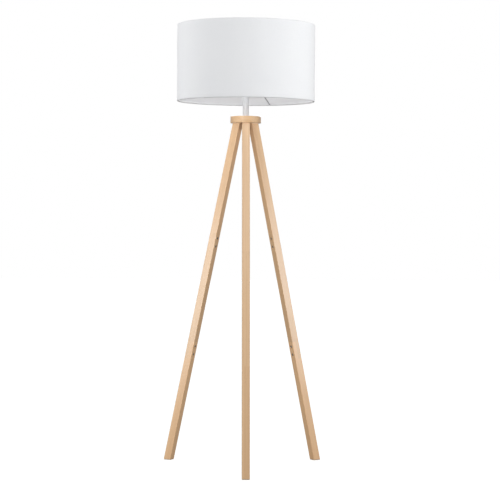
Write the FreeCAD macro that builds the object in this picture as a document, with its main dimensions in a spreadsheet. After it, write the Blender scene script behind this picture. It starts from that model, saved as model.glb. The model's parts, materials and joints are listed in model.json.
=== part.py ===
"""Tripod floor lamp: three square wooden legs, a disc, a stem, a lampholder and a drum shade.

Frame: millimetres, +Z up. The origin is the point of the floor under the lamp's own axis.
The front leg stands towards -Y, and the two rear legs 120 degrees to each side of it.
"""
import FreeCAD, Part
import os

import Sketcher

Vector = FreeCAD.Vector
Rotation = FreeCAD.Rotation
Placement = FreeCAD.Placement

doc = FreeCAD.newDocument("tripod_floor_lamp")

# ---------------------------------------------------------------- driving dimensions

SIZES = [
    # alias, value, what it is
    ("leg_width", 25, "side of a square leg"),
    ("leg_rise", 1121.5, "height of the legs, from the foot pads to the disc"),
    ("top_spread", 29, "lamp axis to the middle of a leg, under the disc"),
    ("foot_spread", 284.4, "lamp axis to the middle of a leg, at its foot"),
    ("leg_rounding", 1.2, "rounding of a leg's long edges"),
    ("pad_thickness", 2.5, "felt pad under a foot"),
    ("pad_inset", 0.6, "the pad's edge inside the leg's edge"),
    ("lower_joint_height", 374, "floor to the middle of the lower leg joints"),
    ("upper_joint_height", 735, "floor to the middle of the upper leg joints"),
    ("lap_length", 60, "length of the half-lap in a leg joint"),
    ("joint_bolt_spacing", 28, "the two bolts of a joint, centre to centre"),
    ("counterbore_depth", 6, "depth of the hole that hides a joint bolt's head"),
    ("bolt_diameter", 5, "joint bolt thread"),
    ("bolt_length", 15.5, "joint bolt, under its head"),
    ("bolt_head_diameter", 8.5, "joint bolt head"),
    ("bolt_head_height", 5, "joint bolt head"),
    ("bolt_socket", 4, "hexagon socket, across its flats"),
    ("head_clearance", 0.5, "gap round a bolt head in its counterbore"),
    ("shank_clearance", 0.25, "gap round a bolt's shank in its hole"),
    ("insert_diameter", 7.5, "threaded insert of a joint bolt"),
    ("insert_length", 9, "threaded insert of a joint bolt"),
    ("top_bolt_diameter", 6, "bolt from the disc into a leg"),
    ("top_bolt_length", 34, "the same bolt, under its head"),
    ("top_bolt_head_diameter", 10, "the same bolt's head"),
    ("top_bolt_head_height", 6, "the same bolt's head"),
    ("top_bolt_socket", 5, "the same bolt's hexagon socket, across its flats"),
    ("top_counterbore_depth", 8, "depth of the hole in the disc that hides the head"),
    ("top_insert_diameter", 9, "threaded insert in a leg's top"),
    ("top_insert_length", 18, "threaded insert in a leg's top"),
    ("fit_gap", 0.05, "radial gap of a thread in its nut, and of a fixed round fit"),
    ("disc_diameter", 100, "wooden disc"),
    ("disc_thickness", 22, "wooden disc"),
    ("disc_rounding", 1.5, "rounding of the disc's rim"),
    ("stem_diameter", 20, "stem tube, outside"),
    ("stem_wall", 1, "stem tube"),
    ("stem_length", 62, "stem tube"),
    ("bush_spigot", 6, "length of a stem bush inside the tube"),
    ("bush_flange", 2, "flange of the upper stem bush, on the tube's end"),
    ("rod_diameter", 10, "hollow threaded rod, outside"),
    ("rod_bore", 8, "hollow threaded rod, inside"),
    ("rod_stand_in_cap", 12, "rod's upper end above the underside of the lampholder"),
    ("washer_diameter", 24, "washer under the disc"),
    ("washer_thickness", 2, "washer under the disc"),
    ("nut_flats", 14, "rod nut, across its flats"),
    ("nut_height", 4, "rod nut"),
    ("grip_diameter", 15, "flex bush under the disc"),
    ("grip_socket", 11, "depth of the rod in the flex bush"),
    ("grip_throat", 7, "length of the flex bush's bore below the rod"),
    ("grip_bore", 7.2, "bore for the flex"),
    ("grip_mouth", 0.8, "chamfer at the flex bush's mouth"),
    ("cap_height", 16, "dome of the lampholder"),
    ("cap_neck_diameter", 18, "neck of the lampholder's dome"),
    ("cap_neck_height", 6, "neck of the lampholder's dome"),
    ("cap_wall", 2, "wall of the lampholder's dome"),
    ("grub_diameter", 4, "grub screw in the neck"),
    ("grub_sunk", 0.4, "grub screw's end inside the neck's surface"),
    ("collar_step", 1.8, "collar of the lampholder outside its barrel, which seats a shade ring"),
    ("collar_height", 3, "collar of the lampholder"),
    ("barrel_diameter", 39.4, "lampholder barrel, over its outside thread"),
    ("barrel_height", 33, "lampholder barrel above its collar"),
    ("barrel_wall", 1.6, "lampholder barrel"),
    ("lip_height", 3, "inward lip at the barrel's mouth"),
    ("core_height", 11, "terminal block in the lampholder"),
    ("terminal_spacing", 18, "the two terminal screws, centre to centre"),
    ("terminal_diameter", 3, "terminal screw thread"),
    ("terminal_head_diameter", 5.5, "terminal screw head"),
    ("terminal_head_height", 2, "terminal screw head"),
    ("terminal_depth", 7, "terminal screw in the block"),
    ("sleeve_bore", 27, "metal screw sleeve for the bulb, inside"),
    ("sleeve_wall", 0.5, "metal screw sleeve for the bulb"),
    ("tongue_width", 5, "sprung centre contact"),
    ("tongue_thickness", 0.5, "sprung centre contact"),
    ("tongue_rise", 3.5, "sprung centre contact, above the terminal block"),
    ("tongue_foot", 5, "the contact's foot on the terminal block"),
    ("tongue_slope", 2.5, "the contact's rise, measured level"),
    ("tongue_top", 7, "the contact's level top, under the bulb"),
    ("ring_outer_diameter", 54, "shade rings"),
    ("ring_height", 5, "shade rings"),
    ("ring_clearance", 0.3, "radial gap of shade ring and shade fitter on the barrel"),
    ("grip_notch", 1.6, "radius of a finger notch in a shade ring"),
    ("running_gap", 0.05, "gap between the shade fitter and the upper shade ring"),
    ("fitter_diameter", 58, "middle ring of the shade fitter, outside"),
    ("fitter_thickness", 3, "middle ring of the shade fitter"),
    ("fitter_recess", 41, "shade's lower edge to the middle of the fitter"),
    ("wire_diameter", 3.5, "wire of the shade's hoops and spokes"),
    ("spoke_bend", 141, "lamp axis to the bend of a spoke"),
    ("spoke_bend_radius", 18, "bend of a spoke, at the wire's middle"),
    ("spoke_turn", 67, "direction of the first spoke, in degrees from +X"),
    ("shade_diameter", 450, "drum shade"),
    ("shade_height", 250, "drum shade"),
    ("fabric_thickness", 0.5, "shade fabric"),
    ("liner_thickness", 1, "stiff liner behind the fabric"),
    ("hem_height", 6.5, "rolled hem's inner flap, from the shade's edge"),
    ("slit_clearance", 0.35, "gap round a spoke where it enters the hem"),
    ("bulb_length", 108, "bulb from contact to crown"),
    ("bulb_diameter", 60, "bulb globe"),
    ("globe_wall", 1.2, "bulb globe"),
    ("bulb_seat_diameter", 55.4, "top of the bulb's housing, where the globe sits"),
    ("bulb_cap_diameter", 26.4, "screw cap of the bulb, over its thread"),
    ("bulb_cap_wall", 0.4, "screw cap of the bulb"),
    ("bulb_cap_height", 20, "screw cap of the bulb"),
    ("bulb_cap_bevel", 1, "bevel at the screw cap's lower edge"),
    ("bulb_insulator_height", 3.5, "insulator under the screw cap"),
    ("bulb_contact_height", 1, "contact button under the insulator"),
    ("bulb_contact_diameter", 9, "contact button under the insulator"),
    ("bulb_contact_bevel", 1, "bevel round the contact button"),
    ("insulator_diameter", 17, "insulator where it meets the screw cap"),
    ("insulator_rim", 2, "height of the insulator's slope"),
    ("housing_neck_diameter", 28.6, "lower end of the bulb's housing"),
    ("housing_neck_height", 3, "straight part of the housing above the cap"),
    ("housing_flare", 66, "radius of the housing's curve outwards"),
    ("housing_wall", 1.6, "bulb housing"),
    ("housing_spigot", 8, "housing inside the screw cap"),
    ("board_diameter", 51, "LED board"),
    ("board_thickness", 1.6, "LED board"),
    ("led_side", 3, "side of a square LED"),
    ("led_height", 0.8, "LED above its board"),
    ("led_circle", 34, "circle of LEDs, across their middles"),
    ("driver_width", 16, "driver board in the bulb's housing"),
    ("driver_height", 30, "driver board in the bulb's housing"),
]

# Places worked out from the sizes. Heights are above the floor. A leg is drawn in a frame of its
# own that leans with it, so "leg_offset" is how far its middle lies from that frame's own Z axis,
# and a joint's place is a distance along the leg.
PLACES = [
    ("lean", "atan((size.foot_spread - size.top_spread) / size.leg_rise)"),
    ("leg_top", "size.pad_thickness + size.leg_rise"),
    ("leg_offset", "size.top_spread * cos(lean) + leg_top * sin(lean)"),
    ("leg_inner", "leg_offset - size.leg_width / 2"),
    ("leg_outer", "leg_offset + size.leg_width / 2"),
    ("lower_joint", "size.lower_joint_height / cos(lean) - leg_offset * tan(lean)"),
    ("upper_joint", "size.upper_joint_height / cos(lean) - leg_offset * tan(lean)"),
    ("top_bolt_radius", "size.top_spread + size.top_insert_length / 2 * tan(lean)"),
    ("disc_top", "leg_top + size.disc_thickness"),
    ("stem_top", "disc_top + size.stem_length"),
    ("holder_base", "stem_top + size.bush_flange"),
    ("rod_top", "holder_base + size.rod_stand_in_cap"),
    ("nut_top", "leg_top - size.washer_thickness"),
    ("grip_top", "nut_top - size.nut_height"),
    ("rod_base", "grip_top - size.grip_socket"),
    ("grip_base", "rod_base - size.grip_throat"),
    ("collar_base", "holder_base + size.cap_height"),
    ("ring_seat", "collar_base + size.collar_height"),
    ("barrel_top", "ring_seat + size.barrel_height"),
    ("barrel_radius", "size.barrel_diameter / 2"),
    ("barrel_bore", "barrel_radius - size.barrel_wall"),
    ("collar_radius", "barrel_radius + size.collar_step"),
    ("core_top", "ring_seat + size.core_height"),
    ("fitter_base", "ring_seat + size.ring_height"),
    ("fitter_middle", "fitter_base + size.fitter_thickness / 2"),
    ("upper_ring_base", "fitter_base + size.fitter_thickness + size.running_gap"),
    ("ring_bore", "barrel_radius + size.ring_clearance"),
    ("shade_base", "fitter_middle - size.fitter_recess"),
    ("shade_top", "shade_base + size.shade_height"),
    ("shade_radius", "size.shade_diameter / 2"),
    ("hem_bore", "(size.liner_thickness + size.wire_diameter) / 2"),
    ("hem_radius", "hem_bore + size.fabric_thickness"),
    ("hem_middle", "shade_radius - hem_radius"),
    ("hoop_radius", "hem_middle - size.liner_thickness / 2"),
    ("lower_hoop", "shade_base + hem_radius"),
    ("upper_hoop", "shade_top - hem_radius"),
    ("spoke_end", "lower_hoop + size.wire_diameter / 2"),
    ("bulb_base", "core_top + size.tongue_rise"),
    ("bulb_top", "bulb_base + size.bulb_length"),
    ("insulator_base", "bulb_base + size.bulb_contact_height"),
    ("bulb_cap_base", "insulator_base + size.bulb_insulator_height"),
    ("bulb_cap_top", "bulb_cap_base + size.bulb_cap_height"),
    ("globe_middle", "bulb_top - size.bulb_diameter / 2"),
    ("globe_base", "globe_middle - sqrt((size.bulb_diameter / 2)^2 - (size.bulb_seat_diameter / 2)^2)"),
]

size_sheet = doc.addObject("Spreadsheet::Sheet", "size")
for row, (alias, number, meaning) in enumerate(SIZES, start=1):
    size_sheet.set(f"A{row}", meaning)
    size_sheet.set(f"B{row}", str(number))
    size_sheet.setAlias(f"B{row}", alias)
doc.recompute()

place_sheet = doc.addObject("Spreadsheet::Sheet", "place")
for row, (alias, formula) in enumerate(PLACES, start=1):
    place_sheet.set(f"A{row}", alias.replace("_", " "))
    place_sheet.set(f"B{row}", "=" + formula)
    place_sheet.setAlias(f"B{row}", alias)
doc.recompute()

FRONT, RIGHT, LEFT = -90, 30, 150  # directions of the three legs, in degrees from +X
LEGS = {"front": FRONT, "right": RIGHT, "left": LEFT}
NOTCHES = 24  # finger notches round a shade ring
SPOKES = 3
LEDS = 12  # lights on the bulb's board
SMALL = 1e-4  # lengths that differ by less are the same
nodes = {}  # node name: the object whose shape is that node


def value(expression):
    """The number that an expression over the two sheets comes to."""
    return float(FreeCAD.Units.Quantity(str(size_sheet.evalExpression(expression))).Value)


# ---------------------------------------------------------------- drawing and feature helpers


def new_body(name, node=True):
    body = doc.addObject("PartDesign::Body", name)
    body.Label = name
    if node:
        nodes[name] = body
    return body


def new_sketch(body, name, role, offset=None):
    """A sketch on one of the body's own planes, lifted off it by the offset."""
    sketch = body.newObject("Sketcher::SketchObject", name)
    plane = next(item for item in body.Origin.OriginFeatures if item.Role == role)
    sketch.AttachmentSupport = [(plane, "")]
    sketch.MapMode = "FlatFace"
    if offset is not None:
        sketch.setExpression("AttachmentOffset.Base.z", offset)
    return sketch


def bind(sketch, constraint, expression):
    index = sketch.addConstraint(constraint)
    name = f"bound{index}"
    sketch.renameConstraint(index, name)
    sketch.setExpression(f"Constraints.{name}", expression)


def arc_between(start, end, radius):
    """The short arc of a signed radius; a positive one turns left on its way to the end."""
    chord = end - start
    left = Vector(-chord.y, chord.x, 0).normalize()
    reach = max(radius**2 - (chord.Length / 2) ** 2, 0) ** 0.5
    middle = (start + end) / 2 + left * (reach if radius > 0 else -reach)
    circle = Part.Circle(middle, Vector(0, 0, 1), abs(radius))
    first, last = (start, end) if radius > 0 else (end, start)
    return Part.ArcOfCircle(circle, circle.parameter(first), circle.parameter(last))


def draw(sketch, corners, closed=True):
    """Lines and arcs through corners (x, y) or (x, y, radius of the arc to the next corner)."""
    points = [Vector(value(corner[0]), value(corner[1]), 0) for corner in corners]
    count = len(corners) if closed else len(corners) - 1
    heads, tails = [], []
    for index in range(count):
        start, end = points[index], points[(index + 1) % len(points)]
        if len(corners[index]) == 2:
            line = sketch.addGeometry(Part.LineSegment(start, end), False)
            heads.append((line, 1))
            tails.append((line, 2))
            continue
        radius = corners[index][2]
        arc = sketch.addGeometry(arc_between(start, end, value(radius)), False)
        bind(sketch, Sketcher.Constraint("Radius", arc, abs(value(radius))), f"abs({radius})")
        heads.append((arc, 1 if value(radius) > 0 else 2))
        tails.append((arc, 2 if value(radius) > 0 else 1))
    for index in range(count if closed else count - 1):
        joined = tails[index] + heads[(index + 1) % count]
        sketch.addConstraint(Sketcher.Constraint("Coincident", *joined))
    ends = heads if closed else heads + [tails[-1]]
    for (item, end), corner, point in zip(ends, corners, points):
        across = Sketcher.Constraint("DistanceX", -1, 1, item, end, point.x)
        bind(sketch, across, corner[0])
        up = Sketcher.Constraint("DistanceY", -1, 1, item, end, point.y)
        bind(sketch, up, corner[1])


def draw_circle(sketch, across, up, radius):
    middle = Vector(value(across), value(up), 0)
    circle = Part.Circle(middle, Vector(0, 0, 1), value(radius))
    item = sketch.addGeometry(circle, False)
    bind(sketch, Sketcher.Constraint("DistanceX", -1, 1, item, 3, middle.x), across)
    bind(sketch, Sketcher.Constraint("DistanceY", -1, 1, item, 3, middle.y), up)
    bind(sketch, Sketcher.Constraint("Radius", item, circle.Radius), radius)


def draw_hexagon(sketch, flats):
    corner = f"{flats} / sqrt(3)"
    draw(sketch, [(f"{corner} * cos({60 * k})", f"{corner} * sin({60 * k})") for k in range(6)])


def lathe(name, corners, node=True):
    """A body turned about Z from the corners (radius, height) of its half-section."""
    body = new_body(name, node)
    sketch = new_sketch(body, f"{name}_profile", "XZ_Plane")
    draw(sketch, corners)
    turned = body.newObject("PartDesign::Revolution", f"{name}_turned")
    turned.Profile = sketch
    turned.ReferenceAxis = (sketch, ["V_Axis"])
    turned.Angle = 360
    return body


def tube_corners(inner, outer, bottom, top):
    return [(inner, bottom), (outer, bottom), (outer, top), (inner, top)]


def pad(body, sketch, length, symmetric=False):
    padded = body.newObject("PartDesign::Pad", f"{sketch.Name}_pad")
    padded.Profile = sketch
    padded.setExpression("Length", length)
    if symmetric:
        padded.SideType = "Symmetric"
    return padded


def pocket(body, sketch, length, forward=False):
    """Cut a sketch's outline out of the body; forward cuts along the sketch's normal."""
    doc.recompute()
    before = body.Shape.Volume
    cut = body.newObject("PartDesign::Pocket", f"{sketch.Name}_cut")
    cut.Profile = sketch
    cut.setExpression("Length", length)
    cut.Reversed = forward
    doc.recompute()
    if body.Shape.Volume > before - SMALL:
        raise RuntimeError(f"{cut.Name} cuts nothing")
    return cut


def repeat_round(body, feature, count):
    """Repeat a feature evenly about the body's Z axis."""
    pattern = body.newObject("PartDesign::PolarPattern", f"{feature.Name}_round")
    pattern.Originals = [feature]
    axis = next(item for item in body.Origin.OriginFeatures if item.Role == "Z_Axis")
    pattern.Axis = (axis, [""])
    pattern.Angle = 360
    pattern.Occurrences = count
    body.Tip = pattern
    return pattern


def round_edges(body, radius, chosen):
    """Fillet the edges of the body's last feature that the test picks."""
    doc.recompute()
    base = body.Tip
    names = [f"Edge{n}" for n, edge in enumerate(base.Shape.Edges, start=1) if chosen(edge)]
    fillet = body.newObject("PartDesign::Fillet", f"{body.Name}_rounded")
    fillet.Base = (base, names)
    fillet.setExpression("Radius", radius)
    return fillet


def group(name, source, placements):
    """One node of like pieces: the source's solid, copied to each placement."""
    doc.recompute()
    pieces = []
    for placement in placements:
        piece = source.Shape.copy()
        piece.Placement = placement.multiply(piece.Placement)
        pieces.append(piece)
    item = doc.addObject("Part::Feature", name)
    item.Label = name
    item.Shape = Part.makeCompound(pieces)
    nodes[name] = item
    return item


def lean_with_leg(azimuth):
    """The placement of a leg's leaning frame."""
    return Placement(Vector(0, 0, 0), Rotation(azimuth, -value("place.lean"), 0))


def turned_about_lamp(azimuth):
    return Placement(Vector(0, 0, 0), Rotation(azimuth, 0, 0))


# ---------------------------------------------------------------- legs

LEG_MIDDLE = "place.leg_offset"
HALF_LAP = "size.lap_length / 2"


def level_corner(across, height):
    """The corner where a line along the leg meets a level plane at a height."""
    return (across, f"{height} / cos(place.lean) - {across} * tan(place.lean)")


def lap_corners(joint):
    """The stepped end of a half-lap, from the leg's outer face to its inner face."""
    return [
        ("place.leg_outer", f"{joint} - {HALF_LAP}"),
        (LEG_MIDDLE, f"{joint} - {HALF_LAP}"),
        (LEG_MIDDLE, f"{joint} + {HALF_LAP}"),
        ("place.leg_inner", f"{joint} + {HALF_LAP}"),
    ]


TOP_END = [
    level_corner("place.leg_outer", "place.leg_top"),
    level_corner("place.leg_inner", "place.leg_top"),
]
FOOT_END = [
    level_corner("place.leg_outer", "size.pad_thickness"),
    level_corner("place.leg_inner", "size.pad_thickness"),
]
SECTIONS = {
    "upper": (TOP_END, lap_corners("place.upper_joint")),
    "middle": (lap_corners("place.upper_joint"), lap_corners("place.lower_joint")),
    "lower": (lap_corners("place.lower_joint"), FOOT_END),
}


def bolt_holes(body, name, joint, start, diameter, depth):
    """The two holes of a joint, bored outwards from a plane across the leg."""
    sketch = new_sketch(body, name, "YZ_Plane", start)
    for side in ("-", "+"):
        draw_circle(sketch, "0", f"{joint} {side} size.joint_bolt_spacing / 2", f"{diameter} / 2")
    pocket(body, sketch, depth, forward=True)


def long_edge(edge):
    """True for the four edges along a leg, which lie at its corners."""
    half = value("size.leg_width") / 2
    box = edge.BoundBox
    along = box.XLength < SMALL and box.YLength < SMALL
    corner_x = abs(abs(box.Center.x - value(LEG_MIDDLE)) - half) < SMALL
    corner_y = abs(abs(box.Center.y) - half) < SMALL
    return along and corner_x and corner_y


def leg_section(leg, section):
    name = f"leg_{leg}_{section}"
    body = new_body(name)
    top, bottom = SECTIONS[section]
    sketch = new_sketch(body, f"{name}_side", "XZ_Plane")
    draw(sketch, top + bottom[::-1])
    pad(body, sketch, "size.leg_width", symmetric=True)
    round_edges(body, "size.leg_rounding", long_edge)
    if section != "upper":
        joint = f"place.{'upper' if section == 'middle' else 'lower'}_joint"
        head_hole = "(size.bolt_head_diameter + 2 * size.head_clearance)"
        shank_hole = "(size.bolt_diameter + 2 * size.shank_clearance)"
        bolt_holes(body, f"{name}_heads", joint, "place.leg_inner", head_hole, "size.counterbore_depth")
        bolt_holes(body, f"{name}_shanks", joint, "place.leg_inner", shank_hole, "size.leg_width / 2")
    if section != "lower":
        joint = f"place.{'upper' if section == 'upper' else 'lower'}_joint"
        insert_hole = "(size.insert_diameter + 2 * size.fit_gap)"
        bolt_holes(body, f"{name}_inserts", joint, LEG_MIDDLE, insert_hole, "size.insert_length")
    if section == "upper":
        bore = new_sketch(body, f"{name}_bore", "XY_Plane")
        level_frame = (
            "placement(vector(place.leg_top * sin(place.lean); 0; place.leg_top * cos(place.lean));"
            " rotation(vector(0; 1; 0); place.lean))"
        )
        bore.setExpression("AttachmentOffset", level_frame)
        draw_circle(bore, "place.top_bolt_radius", "0", "size.top_insert_diameter / 2 + size.fit_gap")
        pocket(body, bore, "size.top_bolt_length")
    leaning = f"placement(vector(0; 0; 0); rotation({LEGS[leg]}; -place.lean; 0))"
    body.setExpression("Placement", leaning)


def cap_bolt(name, thread, length, head, head_height, socket):
    """A socket head bolt along +Z, with its head's seat at the origin."""
    profile = [
        ("0", f"-{head_height}"),
        (f"{head} / 2", f"-{head_height}"),
        (f"{head} / 2", "0"),
        (f"{thread} / 2", "0"),
        (f"{thread} / 2", length),
        ("0", length),
    ]
    bolt = lathe(name, profile, node=False)
    sketch = new_sketch(bolt, f"{name}_socket", "XY_Plane", f"-{head_height}")
    draw_hexagon(sketch, socket)
    pocket(bolt, sketch, f"{head_height} / 2", forward=True)
    return bolt


def leg_joint_hardware():
    bolt = cap_bolt("joint_bolt", "size.bolt_diameter", "size.bolt_length",
                    "size.bolt_head_diameter", "size.bolt_head_height", "size.bolt_socket")
    insert = lathe("joint_insert", tube_corners("size.bolt_diameter / 2 + size.fit_gap",
                                                "size.insert_diameter / 2", "0", "size.insert_length"),
                   node=False)
    outwards = Rotation(Vector(0, 0, 1), Vector(1, 0, 0))
    seats, sockets = [], []
    for azimuth in LEGS.values():
        for joint in ("place.lower_joint", "place.upper_joint"):
            for side in (-0.5, 0.5):
                along = value(joint) + side * value("size.joint_bolt_spacing")
                seat = value("place.leg_inner + size.counterbore_depth")
                leg = lean_with_leg(azimuth)
                seats.append(leg * Placement(Vector(seat, 0, along), outwards))
                sockets.append(leg * Placement(Vector(value(LEG_MIDDLE), 0, along), outwards))
    group("leg_joint_bolts", bolt, seats)
    group("leg_joint_inserts", insert, sockets)


def leg_top_hardware():
    bolt = cap_bolt("top_bolt", "size.top_bolt_diameter", "size.top_bolt_length",
                    "size.top_bolt_head_diameter", "size.top_bolt_head_height",
                    "size.top_bolt_socket")
    insert = lathe("top_insert", tube_corners("size.top_bolt_diameter / 2 + size.fit_gap",
                                              "size.top_insert_diameter / 2", "0",
                                              "size.top_insert_length"), node=False)
    downwards = Rotation(Vector(0, 0, 1), Vector(0, 0, -1))
    radius = value("place.top_bolt_radius")
    seat = value("place.disc_top - size.top_counterbore_depth")
    in_disc = Placement(Vector(radius, 0, seat), downwards)
    in_leg = Placement(Vector(radius, 0, value("place.leg_top")), downwards)
    round_lamp = [turned_about_lamp(azimuth) for azimuth in LEGS.values()]
    group("leg_top_bolts", bolt, [turn * in_disc for turn in round_lamp])
    group("leg_top_inserts", insert, [turn * in_leg for turn in round_lamp])


def foot_pads():
    felt = new_body("foot_pad", node=False)
    sketch = new_sketch(felt, "foot_pad_outline", "XY_Plane")
    half_length = "(size.leg_width / 2 / cos(place.lean) - size.pad_inset)"
    half_width = "(size.leg_width / 2 - size.pad_inset)"
    inner = f"size.foot_spread - {half_length}"
    outer = f"size.foot_spread + {half_length}"
    draw(sketch, [(inner, f"-{half_width}"), (outer, f"-{half_width}"),
                  (outer, half_width), (inner, half_width)])
    pad(felt, sketch, "size.pad_thickness")
    group("foot_pads", felt, [turned_about_lamp(azimuth) for azimuth in LEGS.values()])


# ---------------------------------------------------------------- disc and stem


def top_disc():
    body = new_body("top_disc")
    sketch = new_sketch(body, "disc_outline", "XY_Plane", "place.leg_top")
    draw_circle(sketch, "0", "0", "size.disc_diameter / 2")
    draw_circle(sketch, "0", "0", "size.rod_diameter / 2 + size.shank_clearance")
    pad(body, sketch, "size.disc_thickness")

    def rim(edge):
        radius = getattr(edge.Curve, "Radius", 0)
        return abs(radius - value("size.disc_diameter") / 2) < SMALL

    round_edges(body, "size.disc_rounding", rim)
    heads = new_sketch(body, "disc_head_holes", "XY_Plane", "place.disc_top")
    shanks = new_sketch(body, "disc_shank_holes", "XY_Plane", "place.disc_top")
    for azimuth in LEGS.values():
        across = f"place.top_bolt_radius * cos({azimuth})"
        up = f"place.top_bolt_radius * sin({azimuth})"
        draw_circle(heads, across, up, "size.top_bolt_head_diameter / 2 + size.head_clearance")
        draw_circle(shanks, across, up, "size.top_bolt_diameter / 2 + size.shank_clearance")
    pocket(body, heads, "size.top_counterbore_depth")
    pocket(body, shanks, "size.disc_thickness")


def stem():
    tube_bore = "(size.stem_diameter / 2 - size.stem_wall)"
    rod_hole = "size.rod_diameter / 2 + size.fit_gap"
    spigot = f"{tube_bore} - size.fit_gap"
    lathe("stem_tube", tube_corners(tube_bore, "size.stem_diameter / 2",
                                    "place.disc_top", "place.stem_top"))
    lathe("stem_lower_bush", tube_corners(rod_hole, spigot, "place.disc_top",
                                          "place.disc_top + size.bush_spigot"))
    lathe("stem_upper_bush", [
        (rod_hole, "place.stem_top - size.bush_spigot"),
        (spigot, "place.stem_top - size.bush_spigot"),
        (spigot, "place.stem_top"),
        ("size.stem_diameter / 2", "place.stem_top"),
        ("size.stem_diameter / 2", "place.holder_base"),
        (rod_hole, "place.holder_base"),
    ])
    lathe("threaded_rod", tube_corners("size.rod_bore / 2", "size.rod_diameter / 2",
                                       "place.rod_base", "place.rod_top"))


def clamp_under_disc():
    rod_hole = "size.rod_diameter / 2 + size.fit_gap"
    lathe("lower_washer", tube_corners(
        rod_hole, "size.washer_diameter / 2", "place.nut_top", "place.leg_top"))
    nut = new_body("lower_nut")
    sketch = new_sketch(nut, "lower_nut_outline", "XY_Plane", "place.grip_top")
    draw_hexagon(sketch, "size.nut_flats")
    draw_circle(sketch, "0", "0", rod_hole)
    pad(nut, sketch, "size.nut_height")
    lathe("cord_grip", [
        ("size.grip_bore / 2 + size.grip_mouth", "place.grip_base"),
        ("size.grip_diameter / 2 - size.grip_mouth", "place.grip_base"),
        ("size.grip_diameter / 2", "place.grip_base + size.grip_mouth"),
        ("size.grip_diameter / 2", "place.grip_top"),
        (rod_hole, "place.grip_top"),
        (rod_hole, "place.rod_base"),
        ("size.grip_bore / 2", "place.rod_base"),
        ("size.grip_bore / 2", "place.grip_base + size.grip_mouth"),
    ])


# ---------------------------------------------------------------- lampholder


def holder_cap():
    """The dome: a threaded neck that widens to the rim the barrel sits on."""
    neck_top = "(place.holder_base + size.cap_neck_height)"
    shoulder = "(size.cap_height - size.cap_neck_height) / 2"
    neck = "size.cap_neck_diameter / 2"
    rim = "place.collar_radius"
    rod_hole = "size.rod_diameter / 2 + size.fit_gap"
    body = lathe("holder_cap", [
        (rod_hole, "place.holder_base"),
        (neck, "place.holder_base"),
        (neck, neck_top),
        (rim, f"{neck_top} + {shoulder}"),
        (rim, "place.collar_base"),
        (f"{rim} - size.cap_wall", "place.collar_base"),
        (f"{rim} - size.cap_wall", f"{neck_top} + {shoulder} + size.cap_wall / 2"),
        (neck, f"{neck_top} + size.cap_wall"),
        (rod_hole, f"{neck_top} + size.cap_wall"),
    ])
    sketch = new_sketch(body, "grub_hole", "XZ_Plane")
    draw_circle(sketch, "0", "place.holder_base + size.cap_neck_height / 2",
                "size.grub_diameter / 2 + size.fit_gap")
    pocket(body, sketch, neck)


def holder_grub_screw():
    """A headless screw through the neck, from behind, with its point on the rod."""
    body = new_body("holder_grub_screw")
    height = "place.holder_base + size.cap_neck_height / 2"
    sketch = new_sketch(body, "grub_outline", "XZ_Plane", "-size.rod_diameter / 2")
    draw_circle(sketch, "0", height, "size.grub_diameter / 2")
    screw = pad(body, sketch, "(size.cap_neck_diameter - size.rod_diameter) / 2 - size.grub_sunk")
    screw.Reversed = True


def holder_barrel():
    """The shell, with its collar, its outside thread's envelope and the lip at its mouth."""
    lip = "size.sleeve_bore / 2 + size.sleeve_wall + size.fit_gap"
    lathe("holder_shell", [
        ("place.barrel_bore", "place.collar_base"),
        ("place.collar_radius", "place.collar_base"),
        ("place.collar_radius", "place.ring_seat"),
        ("place.barrel_radius", "place.ring_seat"),
        ("place.barrel_radius", "place.barrel_top"),
        (lip, "place.barrel_top"),
        (lip, "place.barrel_top - size.lip_height"),
        ("place.barrel_bore", "place.barrel_top - size.lip_height"),
    ])
    lathe("holder_thread_sleeve", tube_corners(
        "size.sleeve_bore / 2", "size.sleeve_bore / 2 + size.sleeve_wall",
        "place.core_top", "place.barrel_top"))
    core = lathe("holder_core", [
        ("0", "place.ring_seat"),
        ("place.barrel_bore - size.fit_gap", "place.ring_seat"),
        ("place.barrel_bore - size.fit_gap", "place.core_top"),
        ("0", "place.core_top"),
    ])
    holes = new_sketch(core, "terminal_holes", "XY_Plane", "place.ring_seat")
    for side in ("-", ""):
        hole_radius = "size.terminal_diameter / 2 + size.fit_gap"
        draw_circle(holes, f"{side}size.terminal_spacing / 2", "0", hole_radius)
    pocket(core, holes, "size.terminal_depth", forward=True)


def terminal_screws():
    screw = lathe("terminal_screw", [
        ("0", "-size.terminal_head_height"),
        ("size.terminal_head_diameter / 2", "-size.terminal_head_height"),
        ("size.terminal_head_diameter / 2", "0"),
        ("size.terminal_diameter / 2", "0"),
        ("size.terminal_diameter / 2", "size.terminal_depth"),
        ("0", "size.terminal_depth"),
    ], node=False)
    half, seat = value("size.terminal_spacing / 2"), value("place.ring_seat")
    upright = Rotation()
    group("terminal_screws", screw, [Placement(Vector(x, 0, seat), upright) for x in (-half, half)])


def centre_contact():
    """A bent strip: a foot on the terminal block, a rise, and a level top under the bulb."""
    body = new_body("holder_centre_contact")
    sketch = new_sketch(body, "contact_side", "XZ_Plane")
    low, high, strip = "place.core_top", "place.bulb_base", "size.tongue_thickness"
    top_start, top_end = "-size.tongue_top / 2", "size.tongue_top / 2"
    bend = f"{top_start} - size.tongue_slope"
    foot_end = f"{bend} - size.tongue_foot"
    draw(sketch, [
        (foot_end, low),
        (bend, low),
        (top_start, f"{high} - {strip}"),
        (top_end, f"{high} - {strip}"),
        (top_end, high),
        (f"{top_start} - {strip}", high),
        (f"{bend} - {strip}", f"{low} + {strip}"),
        (foot_end, f"{low} + {strip}"),
    ])
    pad(body, sketch, "size.tongue_width", symmetric=True)


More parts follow.
